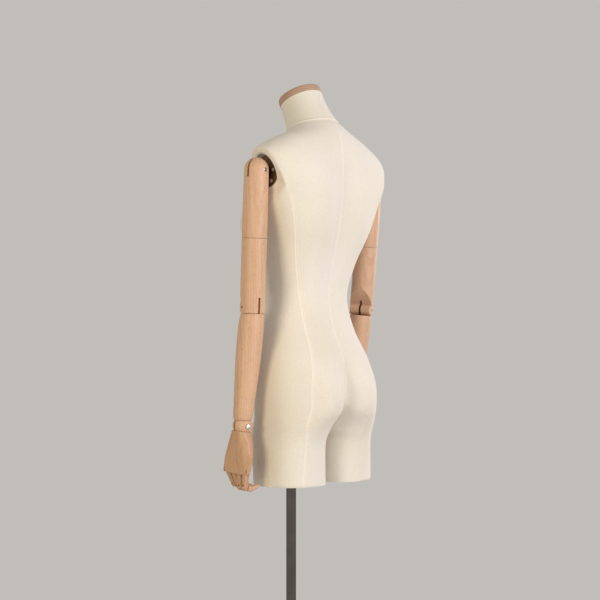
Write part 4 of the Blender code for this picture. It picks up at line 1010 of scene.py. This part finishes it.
def makeShoulder(side, sign, swing):
    # Turned disc and screws that face outwards, and a flanged stud with a flat tongue for the arm
    d, name, body = discSet, side.title(), f"shoulder_{side}"
    face = tx["armholePlane"] - d["cupDepth"] - am["x"]
    makeCup(side, sign, face)
    facing = inFrame(swing, (0, 0, 0), (0, sign * math.pi / 2, 0))
    back = face + seatGap
    front = back + d["thick"]
    pocket = front - d["flangeThick"] - seatGap
    hole, flange = d["stud"] + seatGap, d["flangeRadius"] + seatGap
    profile = eased([(hole, back), (d["radius"], back), (d["radius"], front), (flange, front), (flange, pocket),
                     (hole, pocket)], d["round"], steps=6)
    disc = lathe(f"shoulderDisc{name}", profile, facing, d["sides"], True)
    shank, head, rim = d["screwShank"], d["screwHead"], front - d["screwRim"]
    end, cone = front - d["screwLength"], front - d["screwCone"]
    low, high = d["screwDome"]
    sinks = []
    for level, spot in d["screws"].items():
        seat = inFrame(swing, (0, *spot), (0, sign * math.pi / 2, 0))
        profile = [(pinTip, end), (shank, end), (shank, cone), (head, rim), (head - d["screwRim"], front + low),
                   (pinTip, front + high)]
        screw = lathe(f"shoulderScrew{level.title()}{name}", profile, seat, d["screwSides"])
        shaped(screw, driverSlot(seat, front, d["driver"]))
        settled(screw, body, f"shoulder_screw_{level}_{side}", finishes["screwPaintedLight"])
        sink = [(shank + seatGap, end - seatGap), (shank + seatGap, cone - seatGap),
                (head + seatGap, rim - seatGap), (head + seatGap, front + overCut)]
        sinks.append(lathe(f"screwSink{level}", sink, seat, d["screwSides"]))
    settled(shaped(disc, *sinks), body, f"shoulder_disc_{side}", finishes["walnut"])

    seat = front - d["flangeThick"]
    profile = eased([(d["tip"], back - d["plate"]), (d["stud"], back - d["plate"]), (d["stud"], seat),
                     (d["flangeRadius"], seat), (d["flangeRadius"], front), (d["tip"], front)], d["flangeRound"])
    bracket = lathe(f"shoulderBracket{name}", profile, facing)
    reach = front - am["tongueSeat"]
    outline = np.concatenate([[(reach, -am["tongueNeck"]), (reach, am["tongueNeck"])],
                              arc(am["tongueRadius"], 140, -140, steps=40)]) * (sign, 1)
    tongue = prism("tongue", outline, -am["tongue"] / 2, am["tongue"] / 2, swing)
    pinHole = roundPin("pinHole", am["shoulderPin"] + runGap, -overCut, overCut, swing)
    shaped(bracket, ("UNION", tongue), pinHole)
    settled(bracket, body, f"shoulder_bracket_{side}", finishes["bronze"])
    half = am["topRadius"] - am["pinShort"]
    pin = roundPin(f"shoulderPin{name}", am["shoulderPin"], -half, half, swing)
    settled(pin, body, f"shoulder_pin_{side}", finishes["pin"])


def makeUpperArm(side, lift, wood):
    # A domed top, a long swell down to the ring line, and the spigot below it
    drop, top, turned, spigot = am["twistDrop"], am["topRadius"], am["twistRadius"], am["spigotRadius"]
    end = drop + am["spigotLength"]
    reach = top + overCut
    below = eased([(top, 0.0), (turned, -am["swellAt"] * drop), (turned, -drop + seatGap),
                   (spigot, -drop + seatGap), (spigot, -end), (am["tip"], -end)], am["edge"])
    profile = np.concatenate([arc(top, 89, 0, steps=24), below[1:]])
    arm = lathe(f"upperArm{side.title()}", profile, lift, am["sides"])
    slot = slotCutter("topSlot", reach, -am["slotFloor"], reach, am["tongue"] / 2 + runGap, lift)
    hole = roundPin("pinHole", am["shoulderPin"] + runGap, -reach, reach, lift)
    settled(shaped(arm, slot, hole), f"upper_arm_{side}", f"upper_arm_{side}",
            wood("upper", (0.046, 0.03, 0.1)))


def makeSleeve(side, sign, twist, wood):
    # The lower half of the upper arm: a bore for the spigot, a slot and a scoop for the elbow
    name, body = side.title(), f"lower_sleeve_{side}"
    drop, radius, turned = am["elbowDrop"], am["elbowRadius"], am["twistRadius"]
    bottom = -drop - am["knuckle"]
    reach = am["topRadius"] + overCut
    rimDrop, rimRound = am["sleeveRim"]
    rim = eased([(am["tip"], -seatGap), (turned, -seatGap), (turned, -rimDrop)], rimRound, steps=7)
    below = eased([(turned, -seatGap), (turned, -am["sleeveNeck"]), (radius, -0.5 * drop), (radius, bottom),
                   (am["tip"], bottom)], am["sleeveRound"], steps=8)
    sleeve = lathe(f"lowerSleeve{name}", np.concatenate([rim, below[1:]]), twist, am["sides"])
    boreEnd = -am["spigotLength"] - boreSpare
    bore = boreCutter("spigotBore", am["spigotRadius"] + runGap, boreEnd, overCut, twist, sides=48)
    wide = am["tongue"] / 2 + runGap
    slot = slotCutter("elbowSlot", reach, bottom - overCut, am["slotRise"] - drop, wide, twist)
    near, out = am["scoopReach"], am["scoopOut"]
    high, under = am["scoopStart"] + am["scoopSlope"] * near, -am["knuckle"] - overCut
    meetX, meetZ = am["scoopMeet"]
    outline = np.concatenate([arc(am["knuckle"], -90, math.degrees(math.atan2(meetZ, meetX)), steps=28),
                              [(near, high), (out, high), (out, under), (0, under)]])
    scoop = prism("elbowScoop", outline * (-sign, 1) - (0, drop), -reach, reach, twist)
    pinHome = inFrame(twist, (0, 0, -drop))
    hole = roundPin("pinHole", am["pinRadius"] + seatGap, -reach, reach, pinHome)
    settled(shaped(sleeve, bore, slot, scoop, hole), body, body, wood("sleeve", (-0.04, 0.036, 0.3)))
    half = radius - am["pinShort"]
    pin = roundPin(f"elbowPin{name}", am["pinRadius"], -half, half, pinHome)
    settled(pin, body, f"elbow_pin_{side}", finishes["pin"])


def makeForearm(side, elbow, wrist, wood):
    # Round sections whose centres drift along the carry angle
    name, body = side.title(), f"forearm_{side}"
    face, length, known = am["knuckle"] + seatGap, am["forearmLength"], am["forearm"]
    first, last = am["forearmEnds"]
    depth = np.concatenate([[0.0], np.linspace(first, length - last, am["forearmRows"]), [length]])
    lost, ease = am["forearmRound"]
    radius = smoothRows(known[:, 0], known[:, 1:], depth)
    depth = depth[:, None]
    radius = radius - lost * np.clip(1 - np.minimum(depth, length - depth) / ease, 0, 1) ** 2
    turns = np.linspace(0, 2 * np.pi, am["sides"], endpoint=False)
    grid = np.stack([radius * np.cos(turns), radius * np.sin(turns) - math.tan(am["carry"]) * depth,
                     np.repeat(-face - depth, am["sides"], 1)], -1)
    arm = ringSolid(f"forearm{name}", grid, elbow)
    thick, half, deep = am["tongue"] / 2, am["stemHalf"], am["stemDepth"]
    pocket = slotCutter("stemPocket", half + seatGap, -deep - seatGap, 0, thick + seatGap, elbow)
    boreEnd = am["wristHalf"] + am["wristSpigotLength"] + boreSpare
    bore = boreCutter("wristBore", am["wristSpigot"] + runGap, -overCut, boreEnd, wrist, sides=40)
    settled(shaped(arm, pocket, bore), body, body, wood("forearm", (0.038, -0.045, 0.7)))
    outline = np.concatenate([[(half, -deep)], arc(am["tongueRadius"], -32, 212, steps=40), [(-half, -deep)]])
    tongue = prism(f"elbowTongue{name}", outline, -thick, thick, elbow)
    shaped(tongue, roundPin("pinHole", am["pinRadius"] + runGap, -overCut, overCut, elbow))
    settled(tongue, body, f"elbow_tongue_{side}", finishes["bronze"])


def makeWrist(side, wrist, wood):
    # Part of a ball with a spigot above it, and a screw with a domed head across it
    name, body = side.title(), f"wrist_{side}"
    radius, neck, top = am["wristRadius"], am["wristSpigot"], am["wristHalf"] - seatGap
    low, high = am["wristSpan"]
    end = top + am["wristSpigotLength"]
    ball = arc(radius, low, high, steps=28)
    spigot = eased([ball[-1], (radius - am["wristTaper"], top), (neck, top), (neck, end), (am["tip"], end)],
                   am["wristEdge"])
    ball = lathe(f"wristBall{name}", np.concatenate([ball, spigot[1:]]), wrist)
    reach = radius + overCut
    slot = slotCutter("ballSlot", reach, -reach, am["wristSlot"], am["tongue"] / 2 + runGap, wrist)
    hole = roundPin("pinHole", am["pinRadius"] + seatGap, -reach, reach, wrist)
    settled(shaped(ball, slot, hole), body, f"wrist_ball_{side}", wood("wrist", (0.03, 0.05, 0.2)))
    face, far = radius + seatGap, -radius + am["wristPinShort"]
    head, pin, tip = am["wristHead"], am["pinRadius"], am["wristTip"]
    inset, rise = am["headShoulder"]
    profile = eased([(tip, far), (pin, far), (pin, face), (head, face), (head, face + am["headEdge"]),
                     (head - inset, face + rise), (tip, face + am["headCrown"])], am["headRound"])
    screw = lathe(f"wristScrew{name}", profile, wrist @ alongY, sides=48)
    shaped(screw, driverSlot(wrist @ alongY, face, am["wristDriver"]))
    settled(screw, body, f"wrist_screw_{side}", finishes["steel"])


# Hands

handSet = {
    "palmEnd": 0.1030, "palmRows": 44, "palmStep": (0.0004, 0.0012), "palmEdge": (0.0006, 0.0009),
    # The hand tint darkens the palm and finger bases: painted shade for a hand that faces away from the lamps
    "palmSquare": 0.8, "palmSides": 72, "tint": (0.84, 0.79, 0.74, 1),
    "tongue": (0.0085, 0.0080, 0.0340),    # round end, half width and depth below the wrist pin
    "knuckleInset": 0.0085, "pitch": 0.0167, "slotBelow": 0.03, "rod": 0.0016, "rodOver": 0.0018, "rodSides": 24,
    "width": 0.0138, "head": 0.0070, "lengths": (0.0450, 0.0445, 0.0385, 0.0360), "curl": (40, 34, 15, 5),
    "tips": (0.0250, 0.0290, 0.0360, 0.0440), "tipCurl": (46, 52, 68, 78), "curlMost": 53,
    "baseOver": 0.0060, "fingerTongue": 0.0042, "slotIn": 0.0074, "tipSlim": 0.0010, "tipThick": 0.0060,
    "kneeAt": 0.45, "bend": math.radians(24), "sharp": 50,
    "fingerSquare": 0.62, "fingerSides": 40, "fingerSteps": 6,
    "thumbSeat": (0.0120, -0.0215, -0.0420), "thumbLength": 0.046, "thumbCurl": math.radians(22),
    "thumbSlim": 0.0004, "thumbNotch": 0.030, "notchOut": (0.04, 0.002), "dowelOver": 0.004,
    # Depth below the wrist pin, half breadth, half thickness, shift across
    "palm": np.array([(0.0125, 0.0208, 0.0190, 0.0), (0.030, 0.0262, 0.0180, 0.001),
                      (0.052, 0.0326, 0.0165, 0.002), (0.076, 0.0358, 0.0140, 0.001),
                      (0.095, 0.0356, 0.0112, 0.0), (0.1030, 0.0348, 0.0100, 0.0)]),
    # Round end about a hinge: share of its radius above it, breadth lost, share of its thickness
    "headRows": ((0.98, 0.0024, 0.16), (0.93, 0.0014, 0.34), (0.70, 0.0002, 0.70), (0.4, 0, 0.90), (0, 0, 1)),
    # Share of the length, breadth and thickness lost
    "thumbRows": ((0.6, 0.0002, 0.0004), (0.85, 0.0012, 0.0016), (0.95, 0.0024, 0.0030), (1, 0.0042, 0.0050)),
    "baseRows": ((0.55, 0.0004, 0.0006), (1, 0.0008, 0.0008)),
    "baseEnd": ((0.0014, 0.0014, 0.0024), (0, 0.0026, 0.0046)),    # the same, above the end
    # Height and half thickness of a tip's tongue, then depth, breadth lost and half thickness of its cheeks
    "tipTongue": ((0.0060, 0.0020), (0.0042, 0.0048), (-0.0076, 0.0052)),
    "tipCheek": ((0.0078, 0.0012, 0.0048), (0.0092, 0, 0.0060)),
    # Above the finger's end, breadth lost, half thickness, share of the bend
    "nailRows": ((0.006, 0.0006, 0.0052, 0.72), (0.003, 0.0013, 0.0046, 0.87), (0.0012, 0.0024, 0.0036, 0.96),
                 (0, 0.0042, 0.0018, 1)),
}
hs = handSet


def squareRings(rows, square, count):
    # Rounded rectangles: height, half breadth along Y, half thickness along X, shift along X, shift along Y
    turns = (np.arange(count) + 0.5) * 2 * np.pi / count
    c, s = np.cos(turns), np.sin(turns)
    x = rows[:, 3:4] + rows[:, 2:3] * np.sign(c) * np.abs(c) ** square
    y = rows[:, 4:5] + rows[:, 1:2] * np.sign(s) * np.abs(s) ** square
    return np.stack([x, y, np.repeat(rows[:, :1], count, 1)], -1)


def fingerSolid(name, sections, home):
    # Sections from the head down, with smooth rows between them
    rows = np.array([(*section, 0.0) for section in sections])
    known = -rows[:, 0]
    at = np.unique(np.concatenate([np.linspace(a, b, hs["fingerSteps"]) for a, b in zip(known[:-1], known[1:])]))
    lines = [np.interp(at, known, column) for column in rows.T[1:]]
    rings = squareRings(np.stack([-at, *lines], -1), hs["fingerSquare"], hs["fingerSides"])
    return ringSolid(name, rings, home, sharp=hs["sharp"])


def headRows(head, half):
    return [(head * up, half - slim, head * share, 0) for up, slim, share in hs["headRows"]]


def taperRows(rows, length, head, half):
    return [(-length * share, half - slim, head - thin, 0) for share, slim, thin in hs[rows]]


def rodCutter(name, radius, half, home):
    return roundPin(name, radius, -half, half, home, hs["rodSides"])


def makeFinger(side, k, knuckle, middle, inward, wood):
    # A base with a slot in its end, and a tip whose tongue fits it and which bends below its knee
    label, cadName = f"finger{side.title()}{k + 1}", f"finger_{side}_{k + 1}"
    head, half, length, tipLength = hs["head"], hs["width"] / 2, hs["lengths"][k], hs["tips"][k]
    end = length + hs["baseOver"]
    sections = headRows(head, half) + taperRows("baseRows", length, head, half)
    sections += [(up - end, half - slim, head - thin, 0) for up, slim, thin in hs["baseEnd"]]
    first = fingerSolid(f"{label}Base", sections, knuckle)
    hole = rodCutter("rodHole", hs["rod"] + runGap, overCut, knuckle)
    tongue = hs["fingerTongue"] / 2
    slot = slotCutter("tipSlot", overCut, -end - overCut / 2, hs["slotIn"] - length, tongue + runGap, knuckle)
    shaped(first, hole, slot, sharp=hs["sharp"])
    settled(first, f"{cadName}_base", f"{cadName}_base", wood("finger", (0.02 * k, 0.03, 0.11 * k)))
    body, knee = half - hs["tipSlim"], tipLength * hs["kneeAt"]
    far = inward * math.tan(hs["bend"]) * (tipLength - knee)
    sections = [(up, tongue, thick, 0) for up, thick in hs["tipTongue"]]
    sections += [(-down, body - slim, thick, 0) for down, slim, thick in hs["tipCheek"]]
    sections += [(-knee, body, hs["tipThick"], 0)]
    sections += [(up - tipLength, body - slim, thick, far * share) for up, slim, thick, share in hs["nailRows"]]
    tip = fingerSolid(f"{label}Tip", sections, middle)
    settled(tip, f"{cadName}_tip", f"{cadName}_tip", wood("tip", (0.03 * k, 0.02, 0.17 * k)))


def makeThumb(side, sign, hand, room, wood):
    # The thumb on its dowel; returns the notch and the dowel for the palm
    inward = -sign
    toPalm, seatY, seatZ = hs["thumbSeat"]
    pinHome = inFrame(hand, (inward * toPalm, seatY, seatZ))
    seat = inFrame(pinHome, (0, 0, 0), (0, sign * hs["thumbCurl"], 0))
    head, half, length = hs["head"] - hs["thumbSlim"], hs["width"] / 2, hs["thumbLength"]
    sections = headRows(head, half) + taperRows("thumbRows", length, head, half)
    thumb = fingerSolid(f"thumb{side.title()}", sections, seat)
    deep, (out, high) = hs["thumbNotch"], hs["notchOut"]
    outline = np.concatenate([[(deep * math.tan(hs["thumbCurl"]) - room, -deep)], arc(room, 180, 0, steps=24),
                              [(out, high), (out, -deep)]])
    outline = outline * (inward, 1) + (inward * toPalm, seatZ)
    wide = half + runGap
    notch = prism("thumbNotch", outline, seatY - wide, seatY + wide, hand)
    pinHalf = half + hs["dowelOver"]
    dowel = rodCutter("thumbDowel", hs["rod"], pinHalf, pinHome)
    shaped(thumb, rodCutter("thumbHole", hs["rod"] + runGap, pinHalf, pinHome), sharp=hs["sharp"])
    settled(thumb, f"thumb_{side}", f"thumb_{side}_piece", wood("thumb", (0.05, 0.01, 0.4)))
    return [notch, ("UNION", dowel)]


def makeHand(side, sign, bend, hand, wood):
    # Rounded sections down the palm, with a tongue for the wrist, a slot for each finger and the thumb's notch
    name, body, inward = side.title(), f"hand_{side}", -sign
    start, end = hs["palm"][0, 0], hs["palmEnd"]
    first, last = hs["palmStep"]
    depth = np.concatenate([[start], np.linspace(start + first, end - last, hs["palmRows"]), [end]])
    breadth, thick, shift = smoothRows(hs["palm"][:, 0], hs["palm"][:, 1:], depth).T
    edge = np.zeros(len(depth))
    edge[[0, -1]] = hs["palmEdge"]
    rows = np.stack([-depth, breadth - edge, thick - edge, 0 * depth, shift], -1)
    palm = ringSolid(f"hand{name}", squareRings(rows, hs["palmSquare"], hs["palmSides"]), hand)
    cup = lathe("wristCup", arc(am["wristRadius"] + runGap + seatGap, -88, 88, steps=30), hand)
    tongueRound, tongueHalf, tongueDepth = hs["tongue"]
    outline = np.concatenate([[(tongueHalf, -tongueDepth)], arc(tongueRound, -20, 200, steps=30),
                              [(-tongueHalf, -tongueDepth)]])
    tongue = prism("handTongue", outline, -am["tongue"] / 2, am["tongue"] / 2, bend)
    pinHole = roundPin("pinHole", am["pinRadius"] + runGap, -overCut / 2, overCut / 2, bend)
    tools = [cup, ("UNION", tongue), pinHole]
    axisZ = -end + hs["knuckleInset"]
    room, wide, below = hs["head"] + runGap, hs["width"] / 2 + runGap, hs["slotBelow"]
    outline = np.concatenate([[(-room, -below)], arc(room, 180, hs["curlMost"], steps=24),
                              [(below, room * math.sin(math.radians(hs["curlMost"]))), (below, -below)]])
    for k in range(4):
        y = (k - 1.5) * hs["pitch"]
        knuckle = inFrame(hand, (0, y, axisZ), (0, sign * math.radians(hs["curl"][k]), 0))
        middle = inFrame(knuckle, (0, 0, -hs["lengths"][k]), (0, sign * math.radians(hs["tipCurl"][k]), 0))
        tools.append(prism(f"fingerSlot{k}", outline * (inward, 1) + (0, axisZ), y - wide, y + wide, hand))
        makeFinger(side, k, knuckle, middle, inward, wood)
    half = 1.5 * hs["pitch"] + hs["width"] / 2 + hs["rodOver"]
    rodHome = inFrame(hand, (0, 0, axisZ))
    tools.append(rodCutter("rodHole", hs["rod"] + seatGap, half + seatGap, rodHome))
    rod = rodCutter(f"knuckleRod{name}", hs["rod"], half, rodHome)
    settled(rod, body, f"knuckle_rod_{side}", finishes["steel"])
    tools += makeThumb(side, sign, hand, room, wood)
    settled(shaped(palm, *tools), body, body, wood("palm", (0.024, 0.018, 0.9)))


def makeArm(side, sign, forward, inward, twistRest):
    # Each joint's frame stands in the one above it
    swing = inFrame(form, (sign * am["x"], tx["armY"], tx["armZ"]), (-math.radians(forward), 0, 0))
    lift = inFrame(swing, (0, 0, 0), (0, sign * math.radians(inward), 0))
    twist = inFrame(lift, (0, 0, -am["twistDrop"]), (0, 0, math.radians(twistRest)))
    elbow = inFrame(twist, (0, 0, -am["elbowDrop"]))
    deep = am["knuckle"] + seatGap + am["forearmLength"] + am["wristHalf"]
    wrist = inFrame(elbow, (0, -math.tan(am["carry"]) * am["forearmLength"], -deep),
                    (0, 0, sign * am["wristYaw"] - math.radians(twistRest)))
    bend = inFrame(wrist, (0, 0, 0), (0, -sign * am["handBend"], 0))
    hand = inFrame(bend, (0, 0, 0), (0, 0, sign * am["palmTurn"]))
    centre = wrist.translation

    def wood(label, heart):
        # Each piece has its own heart, so that its rings and flecks differ
        away = (heart[0] * sign - centre.x, heart[1] - centre.y, heart[2])
        # The darker tint on the palm and finger bases is painted shade
        tint = hs["tint"] if label in ("palm", "finger") else (1, 1, 1, 1)
        return beechFinish(f"beech{label.title()}{side.title()}", away, tint)

    makeShoulder(side, sign, swing)
    makeUpperArm(side, lift, wood)
    makeSleeve(side, sign, twist, wood)
    makeForearm(side, elbow, wrist, wood)
    makeWrist(side, wrist, wood)
    makeHand(side, sign, bend, hand, wood)
    print("arm made:", side)


makeTorso()
makeNeckCap()
makeStand()
for side, values in am["arms"].items():
    makeArm(side, *values)


# CAD pieces that stay: boards and pole socket

for cadNode, finish in (("leg_board_left", "ply"), ("leg_board_right", "ply"), ("pole_socket", "steel")):
    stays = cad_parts[cadNode]
    stays.data.materials.clear()
    stays.data.materials.append(finishes[finish])
